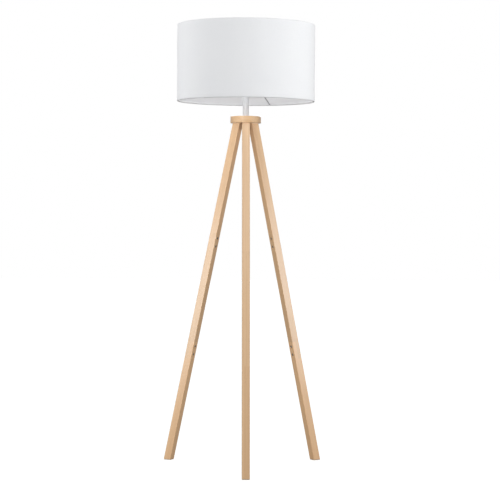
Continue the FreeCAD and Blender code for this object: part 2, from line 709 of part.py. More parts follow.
def shade_ring(name, bottom):
    """A screw ring of the lampholder, with finger notches round its rim."""
    body = lathe(name, tube_corners("place.ring_bore", "size.ring_outer_diameter / 2",
                                    bottom, f"{bottom} + size.ring_height"))
    sketch = new_sketch(body, f"{name}_notch", "XY_Plane", bottom)
    draw_circle(sketch, "size.ring_outer_diameter / 2 + size.grip_notch / 4", "0", "size.grip_notch")
    notch = pocket(body, sketch, "size.ring_height", forward=True)
    repeat_round(body, notch, NOTCHES)


# ---------------------------------------------------------------- shade


def turn_with_shade(body):
    body.setExpression("Placement", "placement(vector(0; 0; 0); rotation(size.spoke_turn; 0; 0))")


SPOKE_RUN = "(place.hoop_radius - size.spoke_bend)"
SPOKE_DROP = "(place.fitter_middle - place.spoke_end)"
SPOKE_SLOPE = f"atan({SPOKE_DROP} / {SPOKE_RUN})"


def shade_fabric():
    """The fabric drum, rolled inwards round the wire hoop at both edges."""
    flap_in = "place.hem_middle - place.hem_radius"
    flap_out = "place.hem_middle - place.hem_bore"
    wall_in = "place.hem_middle + place.hem_bore"
    profile = [
        (flap_in, "place.shade_base + size.hem_height"),
        (flap_in, "place.lower_hoop", "place.hem_radius"),
        ("place.hem_middle", "place.shade_base", "place.hem_radius"),
        ("place.shade_radius", "place.lower_hoop"),
        ("place.shade_radius", "place.upper_hoop", "place.hem_radius"),
        ("place.hem_middle", "place.shade_top", "place.hem_radius"),
        (flap_in, "place.upper_hoop"),
        (flap_in, "place.shade_top - size.hem_height"),
        (flap_out, "place.shade_top - size.hem_height"),
        (flap_out, "place.upper_hoop", "-place.hem_bore"),
        ("place.hem_middle", "place.shade_top - size.fabric_thickness", "-place.hem_bore"),
        (wall_in, "place.upper_hoop"),
        (wall_in, "place.lower_hoop", "-place.hem_bore"),
        ("place.hem_middle", "place.shade_base + size.fabric_thickness", "-place.hem_bore"),
        (flap_out, "place.lower_hoop"),
        (flap_out, "place.shade_base + size.hem_height"),
    ]
    body = lathe("shade_fabric", profile)
    slits = new_sketch(body, "fabric_slit", "YZ_Plane", "size.spoke_bend")
    slit_run = "(place.hoop_radius - place.hem_middle + place.hem_radius)"
    slit_height = f"place.spoke_end + {slit_run} * tan({SPOKE_SLOPE})"
    draw_circle(slits, "0", slit_height, "size.wire_diameter / 2 + size.slit_clearance")
    slit = pocket(body, slits, "place.hem_middle - size.spoke_bend", forward=True)
    repeat_round(body, slit, SPOKES)
    turn_with_shade(body)


def shade_liner():
    outer = "place.shade_radius - size.fabric_thickness"
    lathe("shade_liner", tube_corners(f"{outer} - size.liner_thickness", outer,
                                      "place.lower_hoop", "place.upper_hoop"))


def hoop(name, height):
    """A wire hoop: a torus about the lamp's axis."""
    wire = doc.addObject("Part::Torus", name)
    wire.Label = name
    wire.setExpression("Radius1", "place.hoop_radius")
    wire.setExpression("Radius2", "size.wire_diameter / 2")
    wire.setExpression("Placement.Base.z", height)
    nodes[name] = wire
    return wire


def fitter(lower_hoop):
    lathe("fitter_ring", tube_corners("place.ring_bore", "size.fitter_diameter / 2",
                                      "place.fitter_base",
                                      "place.fitter_base + size.fitter_thickness"))
    spoke = new_body("spoke", node=False)
    route = new_sketch(spoke, "spoke_route", "XZ_Plane")
    tangent = f"(size.spoke_bend_radius * tan({SPOKE_SLOPE} / 2))"
    draw(route, [
        ("size.fitter_diameter / 2", "place.fitter_middle"),
        (f"size.spoke_bend - {tangent}", "place.fitter_middle", "-size.spoke_bend_radius"),
        (f"size.spoke_bend + {tangent} * cos({SPOKE_SLOPE})",
         f"place.fitter_middle - {tangent} * sin({SPOKE_SLOPE})"),
        ("place.hoop_radius", "place.spoke_end"),
    ], closed=False)
    section = new_sketch(spoke, "spoke_section", "YZ_Plane", "size.fitter_diameter / 2")
    draw_circle(section, "0", "place.fitter_middle", "size.wire_diameter / 2")
    pipe = spoke.newObject("PartDesign::AdditivePipe", "spoke_wire")
    pipe.Profile = section
    pipe.Spine = (route, [])
    doc.recompute()
    welded = doc.addObject("Part::Cut", "welded_spoke")
    welded.Base = spoke
    welded.Tool = lower_hoop
    turns = [value("size.spoke_turn") + 360 / SPOKES * k for k in range(SPOKES)]
    group("fitter_spokes", welded, [turned_about_lamp(turn) for turn in turns])


# ---------------------------------------------------------------- bulb


def bulb_globe():
    """A glass ball, open at the bottom where it sits on the housing."""
    depth = "(place.globe_middle - place.globe_base)"
    ball = doc.addObject("Part::Sphere", "globe_outside")
    ball.setExpression("Radius", "size.bulb_diameter / 2")
    ball.setExpression("Angle1", f"-asin({depth} / (size.bulb_diameter / 2))")
    hollow = doc.addObject("Part::Sphere", "globe_inside")
    hollow.setExpression("Radius", "size.bulb_diameter / 2 - size.globe_wall")
    for sphere in (ball, hollow):
        sphere.setExpression("Placement.Base.z", "place.globe_middle")
    globe = doc.addObject("Part::Cut", "bulb_globe")
    globe.Label = "bulb_globe"
    globe.Base = ball
    globe.Tool = hollow
    nodes["bulb_globe"] = globe


def bulb_housing():
    """A trumpet from the screw cap up to the globe, with a ledge for the LED board."""
    neck, seat = "size.housing_neck_diameter / 2", "size.bulb_seat_diameter / 2"
    wall, flare = "size.housing_wall", "size.housing_flare"
    spigot = "size.bulb_cap_diameter / 2 - size.bulb_cap_wall - size.fit_gap"
    board = "size.board_diameter / 2 + size.fit_gap"
    ledge = "(place.globe_base - size.board_thickness)"
    neck_top = "place.bulb_cap_top + size.housing_neck_height"
    lathe("bulb_housing", [
        (f"{spigot} - {wall}", "place.bulb_cap_top - size.housing_spigot"),
        (spigot, "place.bulb_cap_top - size.housing_spigot"),
        (spigot, "place.bulb_cap_top"),
        (neck, "place.bulb_cap_top"),
        (neck, neck_top, f"-{flare}"),
        (seat, "place.globe_base"),
        (board, "place.globe_base"),
        (board, ledge),
        (f"{board} - {wall}", ledge, flare),
        (f"{neck} - {wall}", neck_top),
        (f"{spigot} - {wall}", "place.bulb_cap_top"),
    ])


def bulb_inside():
    board = lathe("bulb_led_board", [
        ("0", "place.globe_base - size.board_thickness"),
        ("size.board_diameter / 2", "place.globe_base - size.board_thickness"),
        ("size.board_diameter / 2", "place.globe_base"),
        ("0", "place.globe_base"),
    ])
    sketch = new_sketch(board, "led_outline", "XY_Plane", "place.globe_base")
    near, far = "(size.led_circle - size.led_side) / 2", "(size.led_circle + size.led_side) / 2"
    draw(sketch, [(near, "-size.led_side / 2"), (far, "-size.led_side / 2"),
                  (far, "size.led_side / 2"), (near, "size.led_side / 2")])
    led = pad(board, sketch, "size.led_height")
    repeat_round(board, led, LEDS)

    card = doc.addObject("Part::Box", "driver_card")
    card.setExpression("Length", "size.driver_width")
    card.setExpression("Width", "size.board_thickness")
    card.setExpression("Height", "size.driver_height")
    card.setExpression("Placement.Base.x", "-size.driver_width / 2")
    capacitor = doc.addObject("Part::Cylinder", "driver_capacitor")
    capacitor.setExpression("Radius", "size.driver_width / 4")
    capacitor.setExpression("Height", "size.driver_height / 2")
    capacitor.setExpression("Placement.Base.y", "-size.driver_width / 4 + size.fit_gap")
    base = "place.globe_base - size.board_thickness - size.driver_height"
    for piece in (card, capacitor):
        piece.setExpression("Placement.Base.z", base)
    driver = doc.addObject("Part::Fuse", "bulb_driver")
    driver.Label = "bulb_driver"
    driver.Base = card
    driver.Tool = capacitor
    nodes["bulb_driver"] = driver


def bulb_cap():
    """The screw cap, the insulator under it and the contact button at its end."""
    cap, wall, bevel = "size.bulb_cap_diameter / 2", "size.bulb_cap_wall", "size.bulb_cap_bevel"
    shoulder = "size.insulator_diameter / 2"
    inner_base = f"place.bulb_cap_base + {wall}"
    lathe("bulb_cap", [
        (shoulder, "place.bulb_cap_base"),
        (f"{cap} - {bevel}", "place.bulb_cap_base"),
        (cap, f"place.bulb_cap_base + {bevel}"),
        (cap, "place.bulb_cap_top"),
        (f"{cap} - {wall}", "place.bulb_cap_top"),
        (f"{cap} - {wall}", f"{inner_base} + {bevel}"),
        (f"{cap} - {wall} - {bevel}", inner_base),
        (shoulder, inner_base),
    ])
    lathe("bulb_insulator", [
        ("0", "place.insulator_base"),
        ("(size.bulb_contact_diameter + size.insulator_rim) / 2", "place.insulator_base"),
        (shoulder, "place.insulator_base + size.insulator_rim"),
        (shoulder, inner_base),
        ("0", inner_base),
    ])
    button = "size.bulb_contact_diameter / 2"
    lathe("bulb_contact", [
        ("0", "place.bulb_base"),
        (f"{button} - size.bulb_contact_bevel", "place.bulb_base"),
        (button, "place.insulator_base"),
        ("0", "place.insulator_base"),
    ])


# ---------------------------------------------------------------- the whole lamp


def build():
    for leg in LEGS:
        for section in SECTIONS:
            leg_section(leg, section)
    leg_joint_hardware()
    leg_top_hardware()
    foot_pads()
    top_disc()
    stem()
    clamp_under_disc()
    holder_cap()
    holder_grub_screw()
    holder_barrel()
    terminal_screws()
    centre_contact()
    shade_ring("shade_ring_lower", "place.ring_seat")
    shade_ring("shade_ring_upper", "place.upper_ring_base")
    shade_fabric()
    shade_liner()
    hoop("shade_top_hoop", "place.upper_hoop")
    fitter(hoop("shade_bottom_hoop", "place.lower_hoop"))
    bulb_globe()
    bulb_housing()
    bulb_inside()
    bulb_cap()
    doc.recompute()


def check_and_export():
    for item in doc.Objects:
        if "Invalid" in item.State or "Error" in item.State:
            raise RuntimeError(f"{item.Name} failed: {item.State}")
    for name, item in nodes.items():
        if item.Shape.isNull() or not item.Shape.isValid() or not item.Shape.Solids:
            raise RuntimeError(f"{name} has no valid solid")
    os.makedirs("parts", exist_ok=True)
    for name, item in nodes.items():
        item.Shape.exportStep(f"parts/{name}.step")
        print(f"{name}: {len(item.Shape.Solids)} solid(s), {item.Shape.Volume:.1f} mm3")


build()
check_and_export()
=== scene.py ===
"""The looks of a tripod floor lamp, with beech legs, a white stem, a drum shade and an LED bulb.

Lengths are metres, +Z is up, and the origin is on the floor, under the stem.
"""

import json
import math
from contextlib import contextmanager

import bpy
from bpy.props import FloatProperty, FloatVectorProperty, IntProperty, PointerProperty
from mathutils import Matrix, Vector, noise

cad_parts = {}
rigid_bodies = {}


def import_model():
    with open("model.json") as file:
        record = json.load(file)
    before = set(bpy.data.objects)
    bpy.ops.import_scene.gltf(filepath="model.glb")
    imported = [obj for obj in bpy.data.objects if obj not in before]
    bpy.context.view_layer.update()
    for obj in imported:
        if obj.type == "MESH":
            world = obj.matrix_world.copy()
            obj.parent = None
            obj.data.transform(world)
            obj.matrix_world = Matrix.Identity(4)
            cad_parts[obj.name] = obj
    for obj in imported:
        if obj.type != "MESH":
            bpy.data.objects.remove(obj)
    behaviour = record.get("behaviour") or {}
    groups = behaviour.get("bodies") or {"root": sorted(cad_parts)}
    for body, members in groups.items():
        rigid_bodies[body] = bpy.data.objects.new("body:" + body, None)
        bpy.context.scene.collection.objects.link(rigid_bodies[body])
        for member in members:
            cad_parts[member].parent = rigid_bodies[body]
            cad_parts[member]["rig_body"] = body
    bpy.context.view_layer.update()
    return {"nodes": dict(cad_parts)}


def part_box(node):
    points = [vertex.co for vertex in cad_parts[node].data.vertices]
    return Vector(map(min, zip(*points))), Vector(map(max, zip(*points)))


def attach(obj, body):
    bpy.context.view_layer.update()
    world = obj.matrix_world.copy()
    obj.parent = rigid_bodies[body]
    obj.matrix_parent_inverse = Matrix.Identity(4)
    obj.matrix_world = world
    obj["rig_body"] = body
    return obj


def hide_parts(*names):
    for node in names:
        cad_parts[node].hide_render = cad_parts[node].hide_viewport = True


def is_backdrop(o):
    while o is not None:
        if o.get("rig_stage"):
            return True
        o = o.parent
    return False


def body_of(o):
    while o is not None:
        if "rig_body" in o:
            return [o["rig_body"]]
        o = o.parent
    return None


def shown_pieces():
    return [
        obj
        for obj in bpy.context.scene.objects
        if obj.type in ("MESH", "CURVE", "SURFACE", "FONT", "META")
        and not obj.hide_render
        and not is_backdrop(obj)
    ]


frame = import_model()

bl_info = {
    "name": "Tripod floor lamp",
    "version": (1, 0, 0),
    "blender": (4, 5, 0),
    "location": "3D View > Sidebar > Floor lamp",
    "description": "Finishes a tripod floor lamp and sets up its lights and camera",
    "category": "Object",
}

NODES = frame["nodes"]
MM = 0.001
TOUCHING = 1e-6  # points that are nearer than this are one
SLICE = 0.1 * MM  # how near to an end of a part its radii there are measured
SPOKE_BEND = 18 * MM  # radius of the bend in a spoke
WAVE_RADIANS = 20  # how far a wave texture of scale 1 goes on in one metre


# ---- sizes read from the lamp's parts


def corners_of(node, low=-1.0, high=10.0):
    """The points of a part between two heights."""
    return [v.co for v in NODES[node].data.vertices if low <= v.co.z <= high]


def radii(node, low=-1.0, high=10.0):
    """A part's smallest and largest distance from the stem's middle line, between two heights."""
    away = [math.hypot(p.x, p.y) for p in corners_of(node, low, high)]
    return min(away), max(away)


def azimuth_of(point):
    return math.atan2(point.y, point.x)


def middle_of(points):
    return sum(points, Vector()) / len(points)


def leg_line(leg):
    """The middles of a leg's foot and top, where it stands on its pad and meets the disc."""
    sections = [f"leg_{leg}_lower", f"leg_{leg}_upper"]
    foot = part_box(sections[0])[0].z
    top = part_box(sections[1])[1].z
    return (middle_of(corners_of(sections[0], high=foot + TOUCHING * 10)),
            middle_of(corners_of(sections[1], low=top - TOUCHING * 10)))


def spoke_azimuths():
    """Where the fitter's spokes reach the hoop, one angle for each."""
    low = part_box("fitter_spokes")[0].z
    ends = sorted(azimuth_of(p) for p in corners_of("fitter_spokes", high=low + 1 * MM))
    groups = [[ends[0]]]
    for angle in ends[1:]:
        if angle - groups[-1][-1] > math.radians(10):
            groups.append([])
        groups[-1].append(angle)
    return [sum(group) / len(group) for group in groups]


# ---- values a user would change


class WoodLook(bpy.types.PropertyGroup):
    pale: FloatVectorProperty(
        name="Pale wood", description="Colour of the wood between its rings",
        subtype="COLOR", size=3, min=0, max=1, default=(0.81, 0.535, 0.297))
    dark: FloatVectorProperty(
        name="Ring wood", description="Colour of the wood in its rings and streaks",
        subtype="COLOR", size=3, min=0, max=1, default=(0.67, 0.40, 0.195))
    fleck: FloatVectorProperty(
        name="Fleck", description="Colour of the short ray flecks",
        subtype="COLOR", size=3, min=0, max=1, default=(0.50, 0.31, 0.165))
    ring_gap: FloatProperty(
        name="Ring spacing", description="Distance between two growth rings",
        subtype="DISTANCE", min=0.0005, default=3.4 * MM)
    streak_width: FloatProperty(
        name="Streak width", description="Width of a fibre streak",
        subtype="DISTANCE", min=0.0001, default=0.9 * MM)
    streak_length: FloatProperty(
        name="Streak length", description="Length of a fibre streak along the grain",
        subtype="DISTANCE", min=0.001, default=75 * MM)
    lacquer: FloatProperty(
        name="Lacquer", description="How strongly the satin lacquer shines",
        subtype="FACTOR", min=0, max=1, default=1.0)


class ShadeLook(bpy.types.PropertyGroup):
    cloth_thickness: FloatProperty(
        name="Cloth thickness", description="Thickness of the cotton on the shade",
        subtype="DISTANCE", min=0.0001, default=0.5 * MM)
    thread_gap: FloatProperty(
        name="Thread spacing", description="Distance between two threads of the weave",
        subtype="DISTANCE", min=0.0002, default=0.62 * MM)
    lap_width: FloatProperty(
        name="Lap width", description="Width of the glued lap at the back of the shade",
        subtype="DISTANCE", min=0.002, default=12 * MM)
    row_height: FloatProperty(
        name="Row height", description="Height of a row of faces on the cloth",
        subtype="DISTANCE", min=0.002, default=10 * MM)
    slackness: FloatProperty(
        name="Slackness", description="How far the cloth stands off its liner, at most",
        subtype="DISTANCE", min=0, default=0.25 * MM)
    columns: IntProperty(
        name="Columns", description="Number of faces round the shade", min=90, default=360)
    cloth: FloatVectorProperty(
        name="Cloth", description="Colour of the cotton",
        subtype="COLOR", size=3, min=0, max=1, default=(0.86, 0.87, 0.885))
    liner: FloatVectorProperty(
        name="Liner", description="Colour of the shade's plastic liner",
        subtype="COLOR", size=3, min=0, max=1, default=(0.82, 0.825, 0.84))


class HolderLook(bpy.types.PropertyGroup):
    barrel_pitch: FloatProperty(
        name="Barrel thread pitch", description="Rise of the shade rings' thread in a turn",
        subtype="DISTANCE", min=0.001, default=4 * MM)
    barrel_depth: FloatProperty(
        name="Barrel thread depth", description="Depth of the shade rings' thread",
        subtype="DISTANCE", min=0, default=0.9 * MM)
    cap_pitch: FloatProperty(
        name="Bulb thread pitch",
        description="Rise of the bulb's thread in a turn, seven turns to an inch",
        subtype="DISTANCE", min=0.001, default=25.4 * MM / 7)
    cap_depth: FloatProperty(
        name="Bulb thread depth", description="Depth of the bulb's rounded thread",
        subtype="DISTANCE", min=0, default=1.0 * MM)
    steps: IntProperty(
        name="Steps", description="Number of faces round a threaded part", min=32, default=144)
    paint: FloatVectorProperty(
        name="Paint", description="Colour of the powder coat on the stem and the wires",
        subtype="COLOR", size=3, min=0, max=1, default=(0.58, 0.588, 0.605))


class StageLook(bpy.types.PropertyGroup):
    eye: FloatVectorProperty(
        name="Eye", description="Where the camera stands",
        subtype="TRANSLATION", size=3, default=(-0.1625, -5.583, 0.838))
    heading: FloatProperty(
        name="Heading", description="How far the camera looks to the right of +Y",
        subtype="ANGLE", default=math.radians(1.844))
    tilt: FloatProperty(
        name="Tilt", description="How far the camera looks above the horizon",
        subtype="ANGLE", default=math.radians(-1.319))
    roll: FloatProperty(
        name="Roll", description="How far the camera leans to the left",
        subtype="ANGLE", default=math.radians(0.42))
    lens: FloatProperty(
        name="Lens", description="Focal length of the camera, in millimetres",
        min=10, default=122.75)
    daylight: FloatProperty(
        name="Daylight", description="Strength of the even light from all round",
        min=0, default=0.41)
    stand_power: FloatProperty(
        name="Light on the stand", description="Full power of a softbox on the stand, in watts",
        min=0, default=32)
    shade_power: FloatProperty(
        name="Light on the shade", description="Full power of a softbox on the shade, in watts",
        min=0, default=24)
    inside_power: FloatProperty(
        name="Light in the shade", description="Power of the light through the cloth, in watts",
        min=0, default=1.15)


# ---- modelling by hand


def start_afresh():
    """Leave nothing selected, so that the next step changes only its own piece."""
    if bpy.context.object and bpy.context.object.mode == "EDIT":
        bpy.ops.object.mode_set(mode="OBJECT")
    bpy.ops.object.select_all(action="DESELECT")


def settle(name):
    """Name the piece in hand and put its place into its mesh."""
    piece = bpy.context.object
    piece.name = piece.data.name = name
    bpy.ops.object.transform_apply(location=True, rotation=True, scale=True)
    return piece


def take(piece):
    """Make a piece the only one selected."""
    start_afresh()
    piece.select_set(True)
    bpy.context.view_layer.objects.active = piece


@contextmanager
def editing(piece, select="SELECT"):
    """Open a piece in edit mode with all, nothing or the last choice selected, and close it."""
    take(piece)
    bpy.ops.object.mode_set(mode="EDIT")
    if select:
        bpy.ops.mesh.select_all(action=select)
    yield
    bpy.ops.object.mode_set(mode="OBJECT")


def close_up(piece):
    """Merge the doubles of a piece and turn its faces outwards."""
    with editing(piece):
        bpy.ops.mesh.remove_doubles(threshold=TOUCHING)
        bpy.ops.mesh.normals_make_consistent(inside=False)


def turn_to(piece, azimuth):
    """Turn a piece about the stem's middle line, in its mesh."""
    take(piece)
    piece.rotation_euler.z = azimuth
    bpy.ops.object.transform_apply(location=True, rotation=True, scale=True)


def smooth(piece, angle):
    take(piece)
    bpy.ops.object.shade_smooth_by_angle(angle=math.radians(angle))


def turned(name, outline, steps, sweep=360):
    """Draw an outline of (radius, height) points and spin it about the stem's middle line.

    It is spun from +X towards +Y, which is a negative angle to the spin operator.
    """
    start_afresh()
    radius, height = outline[0]
    bpy.ops.mesh.primitive_plane_add(size=1 * MM, location=(radius, 0, height))
    piece = settle(name)
    with editing(piece):
        bpy.ops.mesh.merge(type="CENTER")
        for next_radius, next_height in outline[1:]:
            step = (next_radius - radius, 0, next_height - height)
            bpy.ops.mesh.extrude_region_move(TRANSFORM_OT_translate={"value": step})
            radius, height = next_radius, next_height
        bpy.ops.mesh.select_all(action="SELECT")
        bpy.ops.mesh.spin(steps=steps, angle=-math.radians(sweep), center=(0, 0, 0), axis=(0, 0, 1))
    close_up(piece)
    return piece


def joined(name, pieces):
    """Several loose pieces as one."""
    start_afresh()
    for piece in pieces:
        piece.select_set(True)
    bpy.context.view_layer.objects.active = pieces[0]
    bpy.ops.object.join()
    return settle(name)


def copies_round(piece, azimuths):
    """The piece, which points along +X, copied to each azimuth, each with a mesh of its own."""
    made = []
    for azimuth in azimuths:
        take(piece)
        bpy.ops.object.duplicate(linked=False)
        made.append(bpy.context.object)
        turn_to(made[-1], azimuth)
    bpy.data.objects.remove(piece)
    return made


def thicken(sheet, thickness):
    """Give an open sheet its thickness, half of it to each side."""
    take(sheet)
    solidify = sheet.modifiers.new("Thickness", "SOLIDIFY")
    solidify.thickness = thickness
    solidify.offset = 0
    bpy.ops.object.modifier_apply(modifier=solidify.name)


def arc(middle, radius, start, end, steps):
    """Points of a circle round (radius, height), from one angle to another, in degrees."""
    angles = [math.radians(start + (end - start) * k / steps) for k in range(steps + 1)]
    return [(middle[0] + radius * math.cos(a), middle[1] + radius * math.sin(a)) for a in angles]


def softened(corners, reach, steps=3):
    """A closed outline with its corners rounded, from a short reach before each to one after it."""
    points = []
    befores, afters = corners[-1:] + corners[:-1], corners[1:] + corners[:1]
    for before, corner, after in zip(befores, corners, afters):
        corner = Vector(corner)
        back, on = Vector(before) - corner, Vector(after) - corner
        start = corner + back.normalized() * min(reach, back.length / 2.2)
        end = corner + on.normalized() * min(reach, on.length / 2.2)
        for k in range(steps + 1):
            share = k / steps
            point = start * (1 - share) ** 2 + corner * 2 * share * (1 - share) + end * share ** 2
            points.append(tuple(point))
    return points + points[:1]


def column(radius, low, high, row):
    """Evenly spaced points up or down a wall, without its two ends."""
    rows = max(1, round(abs(high - low) / row))
    return [(radius, low + (high - low) * k / rows) for k in range(1, rows)]


def cut_thread(piece, low, high, inner, depth, pitch):
    """Press a rounded right-hand thread into the walls outside a radius, faded out at its ends."""
    for vertex in piece.data.vertices:
        place = vertex.co
        away = math.hypot(place.x, place.y)
        if away < inner or not low < place.z < high:
            continue
        turn = place.z / pitch - azimuth_of(place) / math.tau
        groove = 0.5 - 0.5 * math.cos(math.tau * turn)
        fade = min(1, (place.z - low) / pitch, (high - place.z) / pitch)
        share = 1 - depth * groove * fade / away
        vertex.co = (place.x * share, place.y * share, place.z)


def finish_piece(piece, body, material, replaces=()):
    """Give a made piece its material, its body and the part it stands for."""
    piece.data.materials.clear()
    piece.data.materials.append(material)
    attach(piece, body)
    if replaces:
        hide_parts(*replaces)


def finish_parts(slot, material):
    """Give every shown part of a material slot its finish."""
    for part in NODES.values():
        for place in part.material_slots:
            if place.material and place.material.name.split(".")[0] == slot:
                place.material = material


# ---- materials


class Recipe:
    """A material in the making.

    Values that are the same all over are set on its shader's own sockets.
    """

    def __init__(self, name, **surface):
        self.material = bpy.data.materials.new(name)
        self.material.use_nodes = True
        self.nodes = self.material.node_tree.nodes
        self.links = self.material.node_tree.links
        self.shader = self.nodes["Principled BSDF"]
        for socket, value in surface.items():
            self.shader.inputs[socket.replace("_", " ")].default_value = value

    def add(self, kind, values=None, **settings):
        node = self.nodes.new("ShaderNode" + kind)
        for name, value in settings.items():
            setattr(node, name, value)
        for key, value in (values or {}).items():
            if isinstance(value, bpy.types.NodeSocket):
                self.links.new(value, node.inputs[key])
            else:
                node.inputs[key].default_value = value
        return node

    def place(self):
        return self.add("TexCoord").outputs["Object"]

    def stretched(self, vector, scale):
        return self.add("VectorMath", {0: vector, 1: scale}, operation="MULTIPLY").outputs["Vector"]

    def noise(self, vector, scale, detail=2.0, roughness=0.5):
        """Noise of one scale, or of a scale for each axis."""
        if isinstance(scale, tuple):
            vector, scale = self.stretched(vector, scale), 1.0
        values = {"Vector": vector, "Scale": scale, "Detail": detail, "Roughness": roughness}
        return self.add("TexNoise", values).outputs["Fac"]

    def maths(self, operation, first, second=0.0, third=0.0):
        values = {0: first, 1: second, 2: third}
        return self.add("Math", values, operation=operation).outputs["Value"]

    def times(self, first, second):
        return self.maths("MULTIPLY", first, second)

    def between(self, value, low, high, new_low=0.0, new_high=1.0):
        """A value rescaled from one range to another, and kept inside it."""
        values = {"Value": value, "From Min": low, "From Max": high,
                  "To Min": new_low, "To Max": new_high}
        return self.add("MapRange", values).outputs["Result"]

    def mix(self, share, first, second, blend="MIX"):
        """Two colours in one, each of them a socket or three numbers."""
        values = {0: share}
        for key, colour in ((6, first), (7, second)):
            values[key] = (*colour, 1) if isinstance(colour, tuple) else colour
        return self.add("Mix", values, data_type="RGBA", blend_type=blend).outputs[2]

    def colour(self, socket):
        self.links.new(socket, self.shader.inputs["Base Color"])

    def roughness(self, value, low, high):
        self.links.new(self.between(value, 0.25, 0.75, low, high), self.shader.inputs["Roughness"])

    def bump(self, height, strength, distance):
        values = {"Height": height, "Strength": strength, "Distance": distance}
        self.links.new(self.add("Bump", values).outputs["Normal"], self.shader.inputs["Normal"])


def shade_of(colour, share):
    """The same colour, made darker or lighter."""
    return tuple(min(1, part * share) for part in colour)


def warmed(colour, painted_warmth):
    """The same colour with less blue in it, and half as much less green."""
    return colour[0], colour[1] * (1 - painted_warmth / 2), colour[2] * (1 - painted_warmth)


def grained_wood(name, grain, across, start, shift, board_tone_and_shade, painted_warmth=0.0):
    """Lacquered beech. Its grain runs from start along one direction, with across square to it."""
    look = bpy.context.scene.lamp_wood
    recipe = Recipe(name, Coat_Weight=look.lacquer, Coat_Roughness=0.28, Coat_IOR=1.48, IOR=1.5)
    across = (across - grain * across.dot(grain)).normalized()
    turn = Matrix((across, grain.cross(across), grain))
    place = recipe.add("Mapping", {
        "Vector": recipe.place(),
        "Rotation": turn.to_euler(),
        "Location": shift - turn @ start,
    }).outputs["Vector"]
    rings = recipe.add("TexWave", {
        "Vector": recipe.stretched(place, (1, 1, 0.06)),
        "Scale": math.tau / WAVE_RADIANS / look.ring_gap,
        "Distortion": 5.0, "Detail Scale": 0.12,
    }, wave_type="RINGS", rings_direction="Z", wave_profile="SAW").outputs["Fac"]
    late_wood = recipe.between(rings, 0.55, 1.0)
    fibre = (1 / look.streak_width, 1 / look.streak_width, 1 / look.streak_length)
    streaks = recipe.noise(place, fibre, detail=3, roughness=0.6)
    broad = recipe.noise(place, (60, 60, 2.2))
    flecks = recipe.add("TexVoronoi", {
        "Vector": recipe.stretched(place, (900, 450, 95)), "Scale": 1.0,
    }).outputs["Distance"]
    fleck = recipe.between(flecks, 0.30, 0.16)
    # The tone darkens or lightens both colours and the warmth warms them; on the legs this paints
    # shade and light.
    pale, dark = [warmed(shade_of(colour, board_tone_and_shade), painted_warmth) for colour in (look.pale, look.dark)]
    share = recipe.between(streaks, 0.35, 0.7, 0, 0.42)
    share = recipe.maths("MULTIPLY_ADD", late_wood, 0.36, share)
    share = recipe.maths("ADD", share, recipe.between(broad, 0.3, 0.7, -0.22, 0.26))
    wood = recipe.mix(share, pale, dark)
    sparse = recipe.between(recipe.noise(place, (220, 220, 40)), 0.5, 0.62)
    flecked = recipe.times(fleck, recipe.times(sparse, 0.45))
    recipe.colour(recipe.mix(flecked, wood, shade_of(look.fleck, board_tone_and_shade)))
    recipe.roughness(streaks, 0.36, 0.5)
    pores = recipe.maths("SUBTRACT", streaks, recipe.times(fleck, 0.4))
    recipe.bump(pores, 0.22, 0.12 * MM)
    return recipe.material


def cotton():
    """Fine plain-weave cotton: crossed threads with painted shade between them, a few of them
    thicker, and a little fuzz.
    """
    look = bpy.context.scene.lamp_shade
    recipe = Recipe("shade_cotton", Specular_IOR_Level=0.25, Sheen_Weight=0.25, Sheen_Roughness=0.5)
    place = recipe.add("UVMap", uv_map="threads").outputs["UV"]
    parts = recipe.add("SeparateXYZ", {"Vector": place})
    waver = recipe.noise(place, (90, 90, 1), detail=1)
    phases = []
    for axis in ("X", "Y"):
        count = recipe.maths("DIVIDE", parts.outputs[axis], look.thread_gap)
        phases.append(recipe.times(recipe.maths("MULTIPLY_ADD", waver, 0.35, count), math.pi))
    warp, weft = [recipe.maths("ABSOLUTE", recipe.maths("SINE", phase)) for phase in phases]
    crossing = recipe.times(*[recipe.maths("COSINE", phase) for phase in phases])
    over = recipe.between(crossing, -1, 1)
    under = recipe.maths("SUBTRACT", 1.0, over)
    weave = recipe.maths("MAXIMUM", recipe.times(warp, over), recipe.times(weft, under))
    level = recipe.between(recipe.noise(place, (12, 1100, 1), detail=1), 0.6, 0.78)
    upright = recipe.between(recipe.noise(place, (1100, 12, 1), detail=1), 0.62, 0.8)
    slubs = recipe.maths("MAXIMUM", level, upright)
    fuzz = recipe.noise(place, (5000, 5000, 1))
    cloudy = recipe.between(recipe.noise(place, (14, 14, 1)), 0.35, 0.7, 0, 0.6)
    # The hollows between the threads are painted darker, as shade, and the raised threads lighter.
    painted_shade_hollow, raised, thick = [shade_of(look.cloth, share) for share in (0.9, 1.01, 1.08)]
    cloth = recipe.mix(recipe.between(weave, 0.2, 0.8), painted_shade_hollow, raised)
    cloth = recipe.mix(recipe.times(slubs, 0.35), cloth, thick)
    cooler = recipe.mix(1.0, cloth, (0.985, 0.985, 0.995), "MULTIPLY")
    recipe.colour(recipe.mix(cloudy, cloth, cooler))
    recipe.roughness(fuzz, 0.78, 0.95)
    threads = recipe.maths("MULTIPLY_ADD", slubs, 0.5, weave)
    recipe.bump(recipe.maths("ADD", threads, recipe.times(fuzz, 0.25)), 0.35, 0.12 * MM)
    return recipe.material


def liner_film():
    """Smooth white lampshade film, faintly mottled, with a soft gloss."""
    look = bpy.context.scene.lamp_shade
    recipe = Recipe("liner_film", Specular_IOR_Level=0.4)
    mottle = recipe.noise(recipe.place(), 45, detail=3)
    recipe.colour(recipe.mix(mottle, shade_of(look.liner, 0.97), look.liner[:]))
    recipe.roughness(mottle, 0.42, 0.55)
    recipe.bump(recipe.noise(recipe.place(), 900), 0.08, 0.05 * MM)
    return recipe.material


